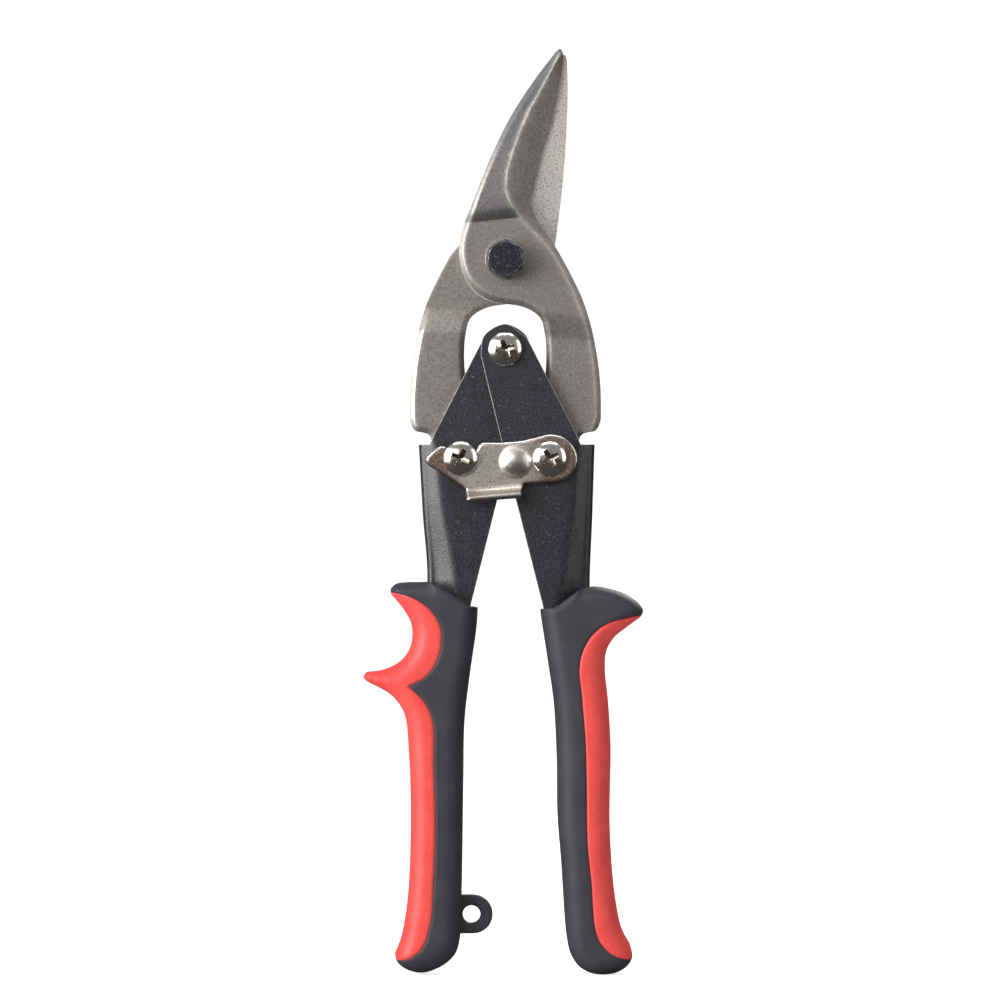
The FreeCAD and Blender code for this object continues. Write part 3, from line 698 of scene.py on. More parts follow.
# hanging tab, with a rounded rim round its hole
HOLE_X, HOLE_Z, HOLE_R = -9.1, 16.2, 2.4
TAB_X, TAB_ROOT_X, TAB_R = HOLE_X + 0.5, -13.5, 5.2
TAB_HALF, TAB_EDGE_R = 2.5, 0.8
tab_end = [(TAB_X + TAB_R * math.sin(a), HOLE_Z - TAB_R * math.cos(a))
           for a in np.linspace(0.35, math.pi - 0.35, 7)]
tab_loop = outline((TAB_ROOT_X, HOLE_Z - TAB_R), (TAB_X, HOLE_Z - TAB_R), tab_end + [(TAB_X, HOLE_Z + TAB_R)],
                   (TAB_ROOT_X, HOLE_Z + TAB_R), step=0.5)
tab_hole = circle(HOLE_X, HOLE_Z, HOLE_R, 36)


def tab_half(points):
    gap = np.minimum(distance(points, tab_loop, True), distance(points, tab_hole, True))
    return rounded_half(gap, TAB_EDGE_R, TAB_HALF - TAB_EDGE_R, TAB_HALF)


plan_solid("hanging_tab", tab_loop, lambda p: -tab_half(p), tab_half, "left_handle", "slate_plastic",
           rings=(0.12, 0.35, 0.7, 1.0), grid=0.8, holes=(tab_hole,), rim_sharp=False, materials=(SLATE,))


# ---------------------------------------------------------------- folded channels
SHEET, WEB_TOP_Z, CHANNEL_END_Z = 2.0, 142.9, 24.0
CORNER_R, CORNER_DEPTH = 1.2, 2.4
FOLD_Z = [24.0, 92.0, 100.0, 106.0, 115.0, 127.0, 143.0]
FOLD_FOOT = [12.0, 12.0, 9.6, 8.1, 7.2, 5.8, 4.8]
FOLD_TOP = [5.0, 5.0, 2.8, 1.4, 0.8, 0.6, 0.5]
FOLD_SLOPE = 0.42
THIN_SHEET = 0.5
FULCRUM_HOLE, LINK_HOLE = 3.05, 2.6


def channel_piece(side, lean, waist, y_front, y_rear):
    """A pressed channel in two halves, front and rear, that meet inside its web.

    lean moves the web outwards and waist draws it in at mid length. The fold widens towards the grip."""
    web = [(23.5 + lean, WEB_TOP_Z), (22.9 + lean - waist / 2, 124.0), (22.2 + lean - waist, 106.0),
           (23.0, 88.0), (24.0, 66.0), (24.2, CHANNEL_END_Z)]
    loop = outline((-6.6, 166.9), [(-5.8, 172.0), (0.0, 175.3), (5.8, 171.7)], (18.8, 146.4),
                   (20.3, WEB_TOP_Z), web[0], web[1:], (17.0, CHANNEL_END_Z),
                   [(16.6, 55.0), (14.6, 76.0), (9.6 + lean, 99.0)], (1.6 + lean, 130.7))
    web = through(web)
    flip = np.array([side, 1.0])
    middle = (y_front + y_rear) / 2
    inner_web = [web - np.array([SHEET + gap, 0.0]) for gap in (-0.05, 0.05)]
    crisp = [run * flip for line in inner_web for run in runs_inside(line, loop)]
    holes = (circle(0, FULCRUM_Z, FULCRUM_HOLE, 36), circle(side * LINK_X, LINK_Z, LINK_HOLE, 32))

    def drop(points):
        gap = distance(points * flip, web)
        foot = np.interp(points[:, 1], FOLD_Z, FOLD_FOOT)
        top = np.interp(points[:, 1], FOLD_Z, FOLD_TOP)
        share = np.clip((foot - gap) / (foot - top), 0, 1)
        fold = FOLD_SLOPE * (foot - top) * share * share * (3 - 2 * share)
        corner = np.clip(1 - gap / CORNER_R, 0, 1)
        return fold + CORNER_DEPTH * (1 - np.sqrt(1 - corner ** 2))

    def hidden(points, face, turn):
        in_web = (distance(points * flip, web) < SHEET) & (points[:, 1] < WEB_TOP_Z + 0.01)
        sheet = face + turn * np.maximum(SHEET, drop(points) + THIN_SHEET)
        nearer = np.minimum(sheet, middle) if turn > 0 else np.maximum(sheet, middle)
        return np.where(in_web, middle, nearer)

    name = side_name(side) + "_handle_channel"
    shared = dict(rings=(0.05, 0.2, 0.45, 0.8, 1.2, 1.6, 2.4, 3.2), grid=0.9, crisp=crisp, holes=holes,
                  materials=(COAT,))
    body = side_name(side) + "_handle"
    plan_solid(name + "_front", loop * flip, lambda p: y_front + drop(p), lambda p: hidden(p, y_front, 1),
               body, "black_paint", replaces=(name,), **shared)
    plan_solid(name + "_rear", loop * flip, lambda p: hidden(p, y_rear, -1), lambda p: y_rear - drop(p),
               body, "black_paint", **shared)


channel_piece(1, 0.6, 0.0, -6.6, 4.5)
channel_piece(-1, -0.15, 1.0, -4.5, 6.6)


# ---------------------------------------------------------------- forged blades
def mirrored(points):
    return [(-x, z) for x, z in points]


ARM_OUTER = [(16.9, 190.1), (20.8, 182.0), (23.3, 174.0), (24.9, 165.8), (25.7, 157.7), (25.8, 149.8)]
SHOULDER = [(25.1, 147.6), (24.2, 146.6), (22.4, 146.2), (21.0, 145.8), (20.2, 145.0)]
NECK = (19.6, 142.9)
EYE = [(18.5, 139.1), (16.6, 134.5), (12.0, 132.6), (7.4, 134.5), (5.5, 139.1)]
ARM_INNER = [(9.2, 153.0), (10.6, 160.0), (11.1, 166.0), (10.9, 171.5), (10.1, 175.8)]
WINDOW = [(9.2, 177.4), (7.0, 179.1), (4.0, 180.3), (0.0, 180.9)]

# the ground part of the shear face lies above this line
GROUND_R = 12.0
GROUND_EDGE = np.vstack([[(-10.5, 206.0)], circle(0, PIVOT_Z, GROUND_R, 72, math.radians(138))[:46],
                         [(12.6, 192.8), (20.0, 192.8)]])
GROUND_AREA = np.vstack([GROUND_EDGE, [(20.0, 260.0), (-10.5, 260.0)]])

# the blade rises from the boss between these heights, on a line tilted by STEP_TILT
STEP_Z, STEP_TOP_Z, STEP_TILT = 203.6, 206.0, 0.11
# Over the heights TIP_Z the blade thins: by RIDGE_THINS from BLADE_THICK at its ridge, and by BACK_THINS
# from BACK_THICK at its back. Its cutting edge is CUT_THICK deep. From the first height of CUT_Z down to
# the second that edge deepens, until it lies CUT_BELOW under the outer face.
TIP_Z, BACK_THICK, RIDGE_THINS, BACK_THINS, CUT_THICK = (208.0, 249.0), 6.9, 4.8, 4.4, 0.9
CUT_BELOW, CUT_Z = 1.2, (210.0, 197.0)
# the arms step back into their channels between these heights
JOGGLE_Z, JOGGLE_TILT, SHEAR_END_Z = (179.5, 173.5), 0.12, (179.0, 173.5)
BEVEL_R, BEVEL_DROP, BEVEL_SOFTER = 1.25, 1.0, 0.4
INNER_RIM_R, INNER_RIM_DROP, INNER_RIM_Z = 1.3, 0.9, (181.0, 175.0)


def step_line(arm_side, offset):
    """Where the milled blade rises from the boss."""
    across = np.linspace(-14.0, 14.0, 60)
    return np.column_stack([across, STEP_Z + offset + STEP_TILT * arm_side * across])


def forging(name, turn, loop, cut_line, ridge, arm_side, flat_edges):
    """One forging. turn is -1 for the front blade and +1 for the rear blade: the side its outer face is on.

    The outer face rises from the cutting edge to the ridge; arms are joggled back into their channels."""

    def outer(points):
        z = points[:, 1]
        to_tip = ramp(z, *TIP_Z)
        blade_ridge = BLADE_THICK - RIDGE_THINS * to_tip
        blade_back = BACK_THICK - BACK_THINS * to_tip
        to_cut = distance(points, cut_line)
        to_ridge = distance(points, ridge)
        to_back = distance(points, flat_edges)
        cut_side = left_of(points, ridge) * arm_side > 0
        share = to_cut / np.maximum(to_cut + to_ridge, 1e-6)
        back_share = to_back / np.maximum(to_back + to_ridge, 1e-6)
        joggle = ramp(z + JOGGLE_TILT * points[:, 0] * arm_side, *JOGGLE_Z)
        boss = BOSS_THICK - (BOSS_THICK - ARM_FRONT) * joggle
        blade_top = np.where(cut_side, blade_ridge, blade_back + (blade_ridge - blade_back) * back_share)
        band = ramp(z - STEP_TILT * points[:, 0] * arm_side, STEP_Z, STEP_TOP_Z)
        top = boss + (blade_top - boss) * band
        foot = CUT_THICK + (top - CUT_BELOW - CUT_THICK) * ramp(z, *CUT_Z)
        bevel = BEVEL_DROP * ramp(to_back, BEVEL_R, 0.0) * (1 - band * BEVEL_SOFTER)
        return np.where(cut_side, foot + (top - foot) * share, top - bevel)

    def inner(points):
        z = points[:, 1]
        reach = (ARM_REACH + SHEAR_GAP) * ramp(z, *SHEAR_END_Z)
        rim = np.minimum(distance(points, loop, True), INNER_RIM_R)
        return -SHEAR_GAP + reach - INNER_RIM_DROP * ramp(rim, INNER_RIM_R, 0.0) * ramp(z, *INNER_RIM_Z)

    def wear_and_highlight(points):
        """Rubbed lines with painted highlights on them: along the ridge, round the boss and arms, and scuffs
        on the inner rim.
        """
        z = points[:, 1]
        to_ridge = distance(points, ridge)
        to_back = distance(points, flat_edges)
        # rubbed ridge with a painted highlight line on it and a softer painted sheen beside it
        line = 0.50 * np.exp(-(to_ridge / 0.34) ** 2) + 0.16 * np.exp(-(to_ridge / 1.0) ** 2)
        place = 0.7 + 0.8 * ramp(z, 210.0, 203.0)
        # painted highlight along the bevel rim, fading out towards the tip
        rim = np.exp(-((to_back - place) / 0.34) ** 2) * ramp(z, 226.0, 208.0)
        # the painted rim highlight is faint low down, where the bevel faces down
        rim *= 0.10 + 0.40 * ramp(z, 183.0, 187.0)
        outside = np.clip(np.maximum(line, rim), 0, 1)
        scuffs = 0.8 * np.exp(-(distance(points, loop, True) / 0.35) ** 2) * ramp(z, 180.0, 184.0)
        inside_face = np.maximum(line * ramp(z, 178.0, 173.0), scuffs)
        return (outside, inside_face) if turn < 0 else (inside_face, outside)

    def pick(middles, kind):
        shear = (kind == (1 if turn < 0 else 0)) & inside(middles, GROUND_AREA)
        return np.where(shear, 1, 0)

    if turn < 0:
        front, back = (lambda p: -outer(p)), inner
    else:
        front, back = (lambda p: -inner(p)), outer
    holes = (circle(0, PIVOT_Z, PIVOT_HOLE, 40), circle(arm_side * LINK_X, LINK_Z, LINK_EYE, 32))
    body = name.replace("_forging", "")
    steps = [line for offset in (-0.12, 0.12) for line in runs_inside(step_line(arm_side, offset), loop)]
    obj = plan_solid(name, loop, front, back, body, "forged_steel",
                     rings=(0.3, 0.8, 1.2, 1.5, 1.9, 2.5), grid=1.0,
                     crisp=[ridge[2:-2]] + steps + runs_inside(GROUND_EDGE, loop), holes=holes,
                     wear_and_highlight=wear_and_highlight, pick=pick, replaces=(body,), materials=(STEEL, GROUND))
    points = np.array([(v.co.x / MM, v.co.z / MM) for v in obj.data.vertices])
    above = points[:, 1] - STEP_TILT * arm_side * points[:, 0] - STEP_Z
    cut_side = left_of(points, ridge) * arm_side > 0
    # painted shade above the boss step: faint on the cutting side, dark on the facets behind the ridge,
    # darkest just above the step and darker again towards the tip
    facet_shade = ramp(above, -0.1, 0.1) * np.where(
        cut_side, 0.06, 0.62 + 0.18 * ramp(above, 4.2, 0.6) + 0.3 * ramp(above, 12.0, 34.0))
    set_layer(obj, "facet_shade", facet_shade)


def left_of(points, line):
    """Signed side of an open line that runs downwards: positive towards +X."""
    order = np.argsort(line[:, 1])
    return points[:, 0] - np.interp(points[:, 1], line[order, 1], line[order, 0])


FRONT_BOSS = [(-4.4, 182.0), (-8.2, 184.4), (-11.0, 188.2), (-12.4, 193.5), (-12.2, 198.2)]
FRONT_BACK = [(-11.1, 202.2), (-8.4, 209.0), (-4.1, 219.8), (1.3, 231.0), (8.0, 241.4), (12.4, 247.2)]
FRONT_CUT = [(15.2, 243.5), (12.8, 231.7), (9.4, 220.0), (6.7, 207.9)]
FRONT_HOLLOW = [(8.3, 203.9), (11.0, 199.8), (13.4, 196.3)]
front_cut = np.vstack([
    through([(15.0, 249.5), (15.7, 248.2)] + FRONT_CUT),
    through(FRONT_CUT[-1:] + FRONT_HOLLOW + ARM_OUTER)[1:],
    straight([ARM_OUTER[-1]] + SHOULDER[:3])[1:]])
front_ridge = through([(15.2, 248.9), (10.5, 240.0), (5.6, 230.6), (2.1, 221.7), (0.5, 215.3), (0.5, 211.1),
                       (1.6, 207.9), (3.4, 204.7), (7.5, 200.3), (12.8, 194.2), (15.7, 189.0), (19.3, 181.4),
                       (21.9, 173.7), (23.5, 165.6), (24.3, 157.7), (24.4, 149.9), (23.6, 147.0)])
front_back_edge = through([(0.0, 180.9)] + FRONT_BOSS + FRONT_BACK + [(13.9, 249.1)])
front_inner_edge = np.vstack([straight([SHOULDER[-1], EYE[0]]), through(EYE)[1:],
                              through([EYE[-1]] + ARM_INNER + WINDOW)[1:], front_back_edge[1:]])
front_loop = outline(
    (-12.2, 198.2), FRONT_BACK, [(13.9, 249.1), (15.0, 249.5), (15.7, 248.2)], FRONT_CUT,
    FRONT_HOLLOW + ARM_OUTER, SHOULDER[:3], SHOULDER[3:], NECK, EYE[0], EYE[1:], ARM_INNER[0], ARM_INNER[1:],
    WINDOW, FRONT_BOSS, step=0.6)
forging("front_blade_forging", -1, front_loop, front_cut, front_ridge, 1, front_inner_edge)

REAR_TOP = [(-8.0, 203.4), (-3.0, 205.2), (2.6, 209.5), (6.6, 220.0), (10.8, 232.0), (15.0, 247.0)]
REAR_BACK = [(16.9, 238.0), (16.5, 226.5), (15.8, 216.0), (14.6, 205.0), (13.4, 196.4)]
REAR_BOSS = [(12.4, 191.0), (10.6, 186.8), (8.2, 184.4), (4.4, 182.0), (0.0, 180.9)]
rear_cut = np.vstack([
    through([(16.0, 248.2)] + REAR_TOP[::-1] + [(-12.4, 197.0), (-14.8, 193.8)]),
    through([(-14.8, 193.8)] + mirrored(ARM_OUTER[1:]))[1:],
    straight(mirrored([ARM_OUTER[-1]] + SHOULDER[:3]))[1:]])
rear_ridge = through([(16.2, 247.6), (14.2, 240.0), (11.6, 230.0), (9.6, 221.0), (8.4, 213.0), (6.6, 206.5),
                      (1.0, 201.3), (-5.5, 198.6), (-10.2, 195.4), (-13.2, 191.4), (-15.9, 187.6),
                      (-19.3, 181.4), (-21.9, 173.7), (-23.5, 165.6), (-24.3, 157.7), (-24.4, 149.9),
                      (-23.6, 147.0)])
rear_back_edge = through(REAR_BOSS[::-1] + REAR_BACK[::-1] + [(16.7, 246.4)])
rear_inner_edge = np.vstack([straight(mirrored([SHOULDER[-1], EYE[0]])), through(mirrored(EYE))[1:],
                             through(mirrored([EYE[-1]] + ARM_INNER + WINDOW))[1:], rear_back_edge[1:]])
rear_loop = outline(
    (-12.4, 197.0), REAR_TOP, [(15.6, 248.1), (16.3, 248.0), (16.7, 246.4)], REAR_BACK, REAR_BOSS,
    mirrored(WINDOW[::-1][1:]) + [(-10.1, 175.8)], mirrored(ARM_INNER[::-1][1:]), (-5.5, 139.1),
    mirrored(EYE[::-1][1:]), *mirrored([NECK, SHOULDER[4]]), mirrored([SHOULDER[3], SHOULDER[2]]),
    mirrored([SHOULDER[1], SHOULDER[0], ARM_OUTER[-1]]),
    mirrored(ARM_OUTER[::-1][1:-1]) + [(-14.8, 193.8), (-12.4, 197.0)], step=0.6)
forging("rear_blade_forging", 1, rear_loop, rear_cut, rear_ridge, -1, rear_inner_edge)


# ---------------------------------------------------------------- latch
LATCH_BACK = round(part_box("latch")[1][1] / MM, 1)
LATCH_THICK, LATCH_EDGE_R, LATCH_EDGE_DROP = 1.5, 0.75, 0.62
LATCH_FRONT = LATCH_BACK - LATCH_THICK
BEND_Z, BEND_TILT, BEND_MIDDLE_X, BEND_R, BEND_ANGLE = 131.7, 0.085, -3.0, 1.3, math.radians(65)
NEUTRAL_R = BEND_R + LATCH_THICK / 2
DOME_X, DOME_Z, DOME_R, DOME_H = 2.7, 138.2, 4.3, 1.4


def latch_piece():
    loop = outline(
        (-16.0, 142.3), [(-15.3, 141.4), (-14.85, 139.6), (-14.35, 137.6), (-12.0, 136.25), (-9.85, 137.2),
                         (-9.2, 139.2)],
        (-7.4, 141.9), [(-6.9, 142.9), (-6.0, 143.4)], (-1.1, 143.4),
        [(4.0, 143.8), (8.0, 144.7), (12.2, 145.6), (16.2, 144.5), (18.8, 141.6), (19.4, 138.4),
         (17.9, 134.9), (15.6, 133.2), (13.0, 132.6)], (5.4, 132.3), [(4.9, 131.8), (4.6, 131.2)],
        (4.4, 127.1), (3.8, 126.6), (-9.8, 125.5), (-10.4, 126.0), (-10.6, 130.6),
        [(-11.4, 131.5), (-13.3, 132.8)], (-20.4, 137.1),
        [(-21.3, 138.2), (-21.1, 139.4), (-20.2, 140.5)], [(-18.8, 141.7), (-17.3, 142.4), (-16.0, 142.3)],
        step=0.5)
    hole = circle(LINK_X, LINK_Z, LINK_EYE, 32)

    def rim_drop(points):
        gap = distance(points, loop, True)
        share = np.clip(gap / LATCH_EDGE_R, 0, 1)
        return LATCH_EDGE_DROP * (1 - np.sqrt(np.maximum(0, 1 - (1 - share) ** 2)))

    def from_dome(points):
        return np.hypot(points[:, 0] - DOME_X, points[:, 1] - DOME_Z)

    def dome(points, radius, height):
        return height * (1 - np.clip(from_dome(points) / radius, 0, 1) ** 2)

    def front(points):
        return LATCH_FRONT + rim_drop(points) - dome(points, DOME_R, DOME_H)

    def back(points):
        return LATCH_BACK - rim_drop(points) * 0.3 - dome(points, DOME_R * 0.8, DOME_H * 0.8)

    def bend(verts):
        """Fold what lies below the bend line outwards, like the sheet it is cut from."""
        out = verts.copy()
        line = BEND_Z + BEND_TILT * (verts[:, 0] - BEND_MIDDLE_X)
        below = line - verts[:, 2]
        fold = below > 0
        angle = np.clip(below / NEUTRAL_R, 0, BEND_ANGLE)
        over = np.maximum(0, below - BEND_ANGLE * NEUTRAL_R)
        radius = BEND_R + (verts[:, 1] - LATCH_FRONT)
        centre_y = LATCH_FRONT - BEND_R
        y = centre_y + radius * np.cos(angle) - over * np.sin(angle)
        z = line - radius * np.sin(angle) - over * np.cos(angle)
        out[fold, 1] = y[fold]
        out[fold, 2] = z[fold]
        return out

    def wear_and_highlight(points):
        gap = distance(points, loop, True)
        z = points[:, 1]
        # rubbed rim with a painted highlight: brightest along the top edge, fainter low down and on the tab
        low = (0.35 + 0.65 * ramp(z, 136.0, 139.5)) * (0.3 + 0.7 * ramp(z, 130.0, 132.0))
        # painted highlight over the dome
        dome_highlight = 0.3 * ramp(from_dome(points), DOME_R, DOME_R - 1.0)
        rubbed = np.clip(ramp(gap, LATCH_EDGE_R, 0.35) * 0.9 * low + dome_highlight, 0, 1)
        return rubbed, rubbed

    plate = plan_solid("latch_plate", loop, front, back, "latch", "latch_nickel",
                       rings=(0.1, 0.25, 0.45, 0.7, 1.0), grid=0.5, holes=(hole,), rim_sharp=False, bend=bend,
                       wear_and_highlight=wear_and_highlight, replaces=("latch",), materials=(LATCH,))
    across = np.array([v.co.x / MM for v in plate.data.vertices])
    upright = np.array([v.co.z / MM for v in plate.data.vertices])
    # painted brown reflection towards both ends of the upright plate
    brown_reflection = np.maximum(ramp(across, -11.0, -17.0), ramp(across, 5.5, 10.5)) * ramp(upright, 130.5, 132.5)
    set_layer(plate, "brown_reflection", brown_reflection)
    # painted shade over the folded thumb tab below the bend
    set_layer(plate, "tab_shade", ramp(upright, 131.6, 130.4))


latch_piece()


# ---------------------------------------------------------------- screws
HEAD_R, HEAD_H, HEAD_RIM, HEAD_EDGE = 4.5, 2.3, 0.9, 0.15
# half an arm's width and an arm's reach of the cross recess, its depth and the width of its slope
CROSS_HALF, CROSS_REACH, CROSS_DEPTH, CROSS_SLOPE = 0.62, 2.55, 1.75, 0.14
TAIL_R, TAIL_CHAMFER = 2.0, 0.5


def cross_outline(half, reach):
    """The closed outline of a cross recess."""
    corners = []
    for k in range(4):
        a = k * math.pi / 2
        for u, v in ((reach, -half), (reach, half), (half * 1.25, half * 1.25)):
            corners.append((u * math.cos(a) - v * math.sin(a), u * math.sin(a) + v * math.cos(a)))
    return straight(corners + corners[:1], 0.25)


def screw_head():
    """A domed head, shared by the screws: plan points, triangles, heights, rim and share of recess."""
    lip = cross_outline(CROSS_HALF, CROSS_REACH)
    wall = cross_outline(CROSS_HALF * 0.72, CROSS_REACH * 0.90)
    edge = circle(0, 0, HEAD_R, 56)
    points, edges, _ = sheet_of_points(edge, (0.07, 0.2, 0.4, 0.7), 0.22, (lip, wall), ())
    _, flat, tris, _ = fill_plan(points, edges, lambda middles: inside(middles, edge * 1.0005))
    gap = np.hypot(flat[:, 0], flat[:, 1])
    dome = HEAD_RIM + (HEAD_H - HEAD_RIM) * (1 - np.clip(gap / HEAD_R, 0, 1) ** 2.1) ** 0.85
    recess = inside(flat, lip[:-1]) * np.clip(distance(flat, lip) / CROSS_SLOPE, 0, 1)
    deep = CROSS_DEPTH * (1 - np.clip(gap / (CROSS_REACH * 1.25), 0, 1) ** 1.3)
    directed = {(t[i], t[(i + 1) % 3]) for t in tris for i in range(3)}
    following = {p: q for p, q in directed if (q, p) not in directed}
    rim = [next(iter(following))]
    while following[rim[-1]] != rim[0]:
        rim.append(following[rim[-1]])
    return flat, tris, dome - recess * deep, rim, recess


HEAD = screw_head()


def pan_screw(name, x, z, body, turn, shank_r, shoulder_y, tail_y):
    """Domed head with a tapered cross recess, on a shoulder and a plain tail."""
    flat, tris, high, rim, recess = HEAD
    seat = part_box(name)[0][1] / MM + HEAD_H
    angle = math.radians(turn)
    px = flat[:, 0] * math.cos(angle) - flat[:, 1] * math.sin(angle)
    pz = flat[:, 0] * math.sin(angle) + flat[:, 1] * math.cos(angle)
    verts = [(x + u, seat - h, z + v) for u, v, h in zip(px, pz, high)]
    faces = [tuple(t) for t in tris]
    profile = [(HEAD_R, seat - HEAD_EDGE), (HEAD_R - HEAD_EDGE, seat), (shank_r, seat), (shank_r, shoulder_y),
               (TAIL_R, shoulder_y), (TAIL_R, tail_y - TAIL_CHAMFER), (TAIL_R - TAIL_CHAMFER, tail_y)]
    previous = rim
    for radius, y in profile:
        fresh = []
        for index in rim:
            u, v = px[index], pz[index]
            scale = radius / math.hypot(u, v)
            fresh.append(len(verts))
            verts.append((x + u * scale, y, z + v * scale))
        for i in range(len(rim)):
            j = (i + 1) % len(rim)
            faces.append((previous[j], previous[i], fresh[i], fresh[j]))
        previous = fresh
    verts.append((x, tail_y, z))
    for i in range(len(previous)):
        faces.append((previous[(i + 1) % len(previous)], previous[i], len(verts) - 1))
    obj = add_object(name + "_piece", verts, faces, body, "nickel", replaces=(name,), materials=(NICKEL,))
    obj.data.set_sharp_from_angle(angle=math.radians(38))
    set_layer(obj, "recess", np.concatenate([recess, np.zeros(len(verts) - len(flat))]))


pan_screw("fulcrum_screw", 0, FULCRUM_Z, "left_handle", 20, 3.0, 6.6, 10.7)
pan_screw("left_link_screw", -LINK_X, LINK_Z, "left_handle", 66, 2.6, 6.6, 10.7)
pan_screw("right_link_screw", LINK_X, LINK_Z, "right_handle", 31, 2.6, 4.5, 8.6)


# ---------------------------------------------------------------- opening spring
def tube_along(points, radius, segments=10):
    """Round wire along a dense run of 3-D points, with closed ends."""
    pts = np.array(points)
    verts, faces = [], []
    up = np.array([0.0, 1.0, 0.0])
    for i, p in enumerate(pts):
        tangent = pts[min(i + 1, len(pts) - 1)] - pts[max(i - 1, 0)]
        tangent /= np.linalg.norm(tangent)
        side = np.cross(tangent, up)
        side /= max(np.linalg.norm(side), 1e-6)
        up = np.cross(side, tangent)
        for k in range(segments):
            a = 2 * math.pi * k / segments
            verts.append(p + radius * (math.cos(a) * side + math.sin(a) * up))
    for i in range(len(pts) - 1):
        for k in range(segments):
            n = (k + 1) % segments
            faces.append((i * segments + k, i * segments + n, (i + 1) * segments + n, (i + 1) * segments + k))
    faces.append(tuple(range(segments))[::-1])
    faces.append(tuple(len(verts) - segments + k for k in range(segments)))
    return verts, faces


WIRE_R, COIL_R, COIL_HALF, COIL_TURNS = 0.7, 4.4, 1.6, 2


def spring_piece():
    """Two coils round the fulcrum screw, and a leg along each handle."""
    coil = []
    for t in np.linspace(0, 1, 96):
        a = -2 * math.pi * COIL_TURNS * t
        coil.append((COIL_R * math.cos(a), -COIL_HALF + 2 * COIL_HALF * t, FULCRUM_Z + COIL_R * math.sin(a)))
    left = [(-18.6, 118.0), (-10.0, 126.4), (-2.8, 134.0), (-0.4, 142.0), (2.4, 150.0), (4.2, 162.0)]
    right = [(4.3, 162.0), (3.8, 146.0), (3.6, 134.0), (9.0, 128.0), (18.6, 118.0)]
    lead = [(x, -COIL_HALF, z) for x, z in through(left, 1.0)]
    tail = [(x, COIL_HALF, z) for x, z in through(right, 1.0)]
    verts, faces = tube_along(lead + coil + tail, WIRE_R)
    obj = add_object("opening_spring", verts, faces, "left_handle", "spring_steel",
                     replaces=("torsion_spring",), materials=(SPRING,))
    obj.parent = None
    return obj


spring = spring_piece()


# ---------------------------------------------------------------- floor, light and camera
def pale_floor():
    """A white sweep: floor running up into a backdrop. In reflections it is a dim table."""
    material = bpy.data.materials.new("pale_floor")
    material.use_nodes = True
    tree = material.node_tree
    shader = tree.nodes["Principled BSDF"]
    shader.inputs["Roughness"].default_value = 0.9
    shader.inputs["Specular IOR Level"].default_value = 0.0
    rays = tree.nodes.new("ShaderNodeLightPath")
    glow = tree.nodes.new("ShaderNodeMapRange")
    glow.inputs["To Min"].default_value = 0.0
    glow.inputs["To Max"].default_value = 0.75
    tree.links.new(rays.outputs["Is Camera Ray"], glow.inputs["Value"])
    tree.links.new(glow.outputs[0], shader.inputs["Emission Strength"])
    shader.inputs["Emission Color"].default_value = (1, 1, 1, 1)
    tone = tree.nodes.new("ShaderNodeMix")
    tone.data_type = "RGBA"
    tone.inputs["A"].default_value = (0.8, 0.8, 0.8, 1)
    tone.inputs["B"].default_value = (0.05, 0.048, 0.046, 1)
    tree.links.new(rays.outputs["Is Glossy Ray"], tone.inputs["Factor"])
    tree.links.new(tone.outputs["Result"], shader.inputs["Base Color"])
    profile = [(-4.0, 0.0), (1.2, 0.0)]
    profile += [(1.2 + 0.8 * math.sin(a), 0.8 - 0.8 * math.cos(a))
                for a in np.linspace(0, math.pi / 2, 12)[1:]]
    profile += [(2.0, 3.0)]
    verts = [(x, y, z) for y, z in profile for x in (-4.0, 4.0)]
    faces = [(2 * i, 2 * i + 1, 2 * i + 3, 2 * i + 2) for i in range(len(profile) - 1)]
    mesh = bpy.data.meshes.new("sweep")
    mesh.from_pydata(verts, [], faces)
    mesh.shade_smooth()
    mesh.materials.append(material)
    sweep = bpy.data.objects.new("sweep", mesh)
    bpy.context.scene.collection.objects.link(sweep)


pale_floor()


def area_light(name, place, aim, width, height, power):
    data = bpy.data.lights.new(name, "AREA")
    data.shape = "RECTANGLE"
    data.size, data.size_y = width, height
    data.energy = power
    light = bpy.data.objects.new(name, data)
    bpy.context.scene.collection.objects.link(light)
    light.location = place
    light.rotation_euler = (Vector(aim) - Vector(place)).to_track_quat("-Z", "Y").to_euler()


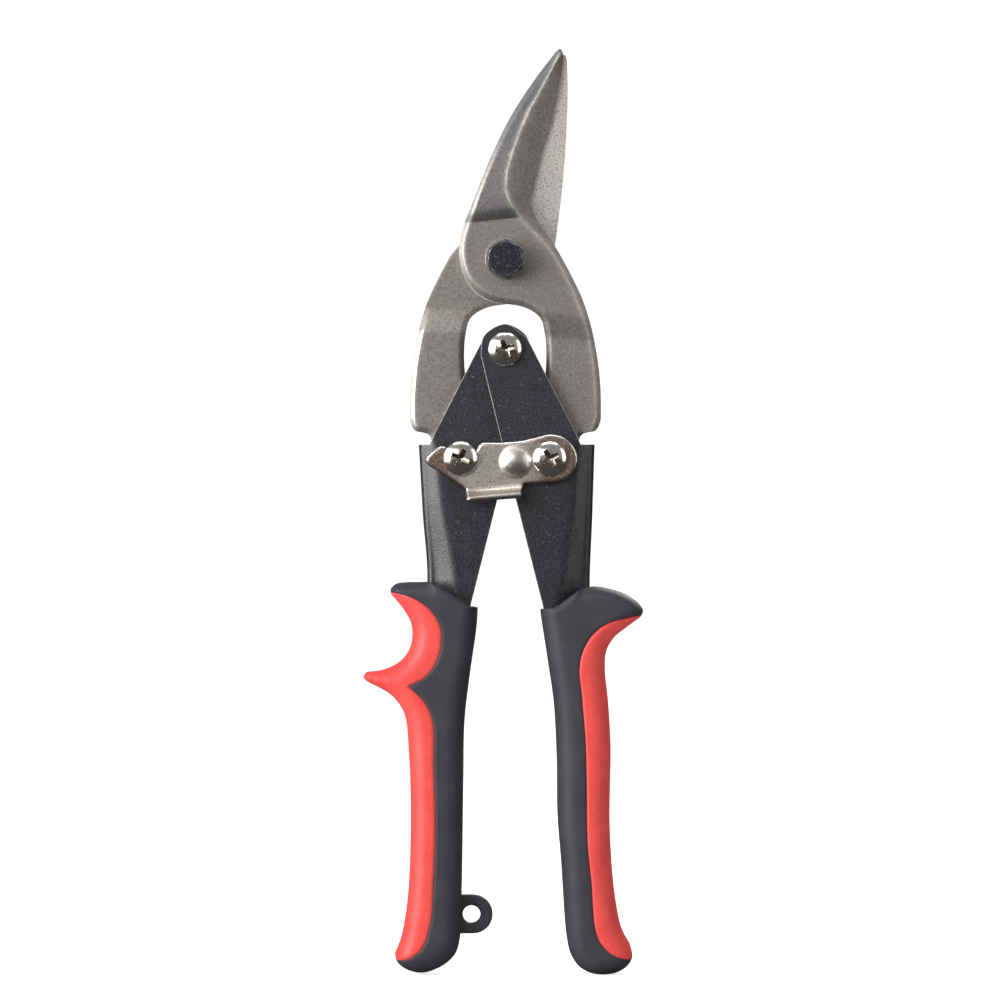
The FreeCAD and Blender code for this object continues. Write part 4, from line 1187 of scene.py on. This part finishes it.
MIDDLE = (0, 0, 0.125)
area_light("top_softbox", (0.0, -0.20, 1.0), MIDDLE, 0.9, 0.4, 3.2)
area_light("left_softbox", (-0.83, -0.44, 0.28), MIDDLE, 0.72, 0.9, 16.5)
area_light("right_softbox", (0.80, -0.45, 0.28), MIDDLE, 0.30, 0.9, 1.7)
area_light("front_fill", (-0.50, -1.3, 0.75), MIDDLE, 0.50, 0.50, 2.4)
area_light("rear_fill", (0.4, 1.1, 0.75), MIDDLE, 0.5, 0.5, 6.0)


def studio_world():
    """White sweep behind the tool, a dimmer room on the other sides, darkest low behind the camera."""
    world = bpy.data.worlds.new("studio")
    bpy.context.scene.world = world
    world.use_nodes = True
    tree = world.node_tree
    coords = tree.nodes.new("ShaderNodeTexCoord")
    split = tree.nodes.new("ShaderNodeSeparateXYZ")
    tree.links.new(coords.outputs["Generated"], split.inputs[0])
    strength = None
    for axis, low, high, dark, bright in (("Y", 0.60, 0.90, 0.22, 1.05), ("Z", -0.40, 0.05, 0.18, 1.0)):
        node = tree.nodes.new("ShaderNodeMapRange")
        node.interpolation_type = "SMOOTHSTEP"
        tree.links.new(split.outputs[axis], node.inputs["Value"])
        for key, number in (("From Min", low), ("From Max", high), ("To Min", dark), ("To Max", bright)):
            node.inputs[key].default_value = number
        if strength is None:
            strength = node.outputs[0]
        else:
            product = tree.nodes.new("ShaderNodeMath")
            product.operation = "MULTIPLY"
            tree.links.new(strength, product.inputs[0])
            tree.links.new(node.outputs[0], product.inputs[1])
            strength = product.outputs[0]
    tree.links.new(strength, tree.nodes["Background"].inputs["Strength"])
    tree.nodes["Background"].inputs["Color"].default_value = (1, 1, 1, 1)


studio_world()
bpy.context.scene.view_settings.view_transform = "Standard"

camera_data = bpy.data.cameras.new("camera")
camera_data.clip_end = 20
camera_data.lens = 240
camera_data.sensor_width = 36
camera = bpy.data.objects.new("camera", camera_data)
bpy.context.scene.collection.objects.link(camera)
VIEW_WIDTH, VIEW_X, VIEW_Z = 0.27027, -0.00128, 0.1278
camera.location = (VIEW_X, -VIEW_WIDTH * camera_data.lens / camera_data.sensor_width, VIEW_Z)
camera.rotation_euler = (math.radians(90), 0, 0)
bpy.context.scene.camera = camera

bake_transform(spring)
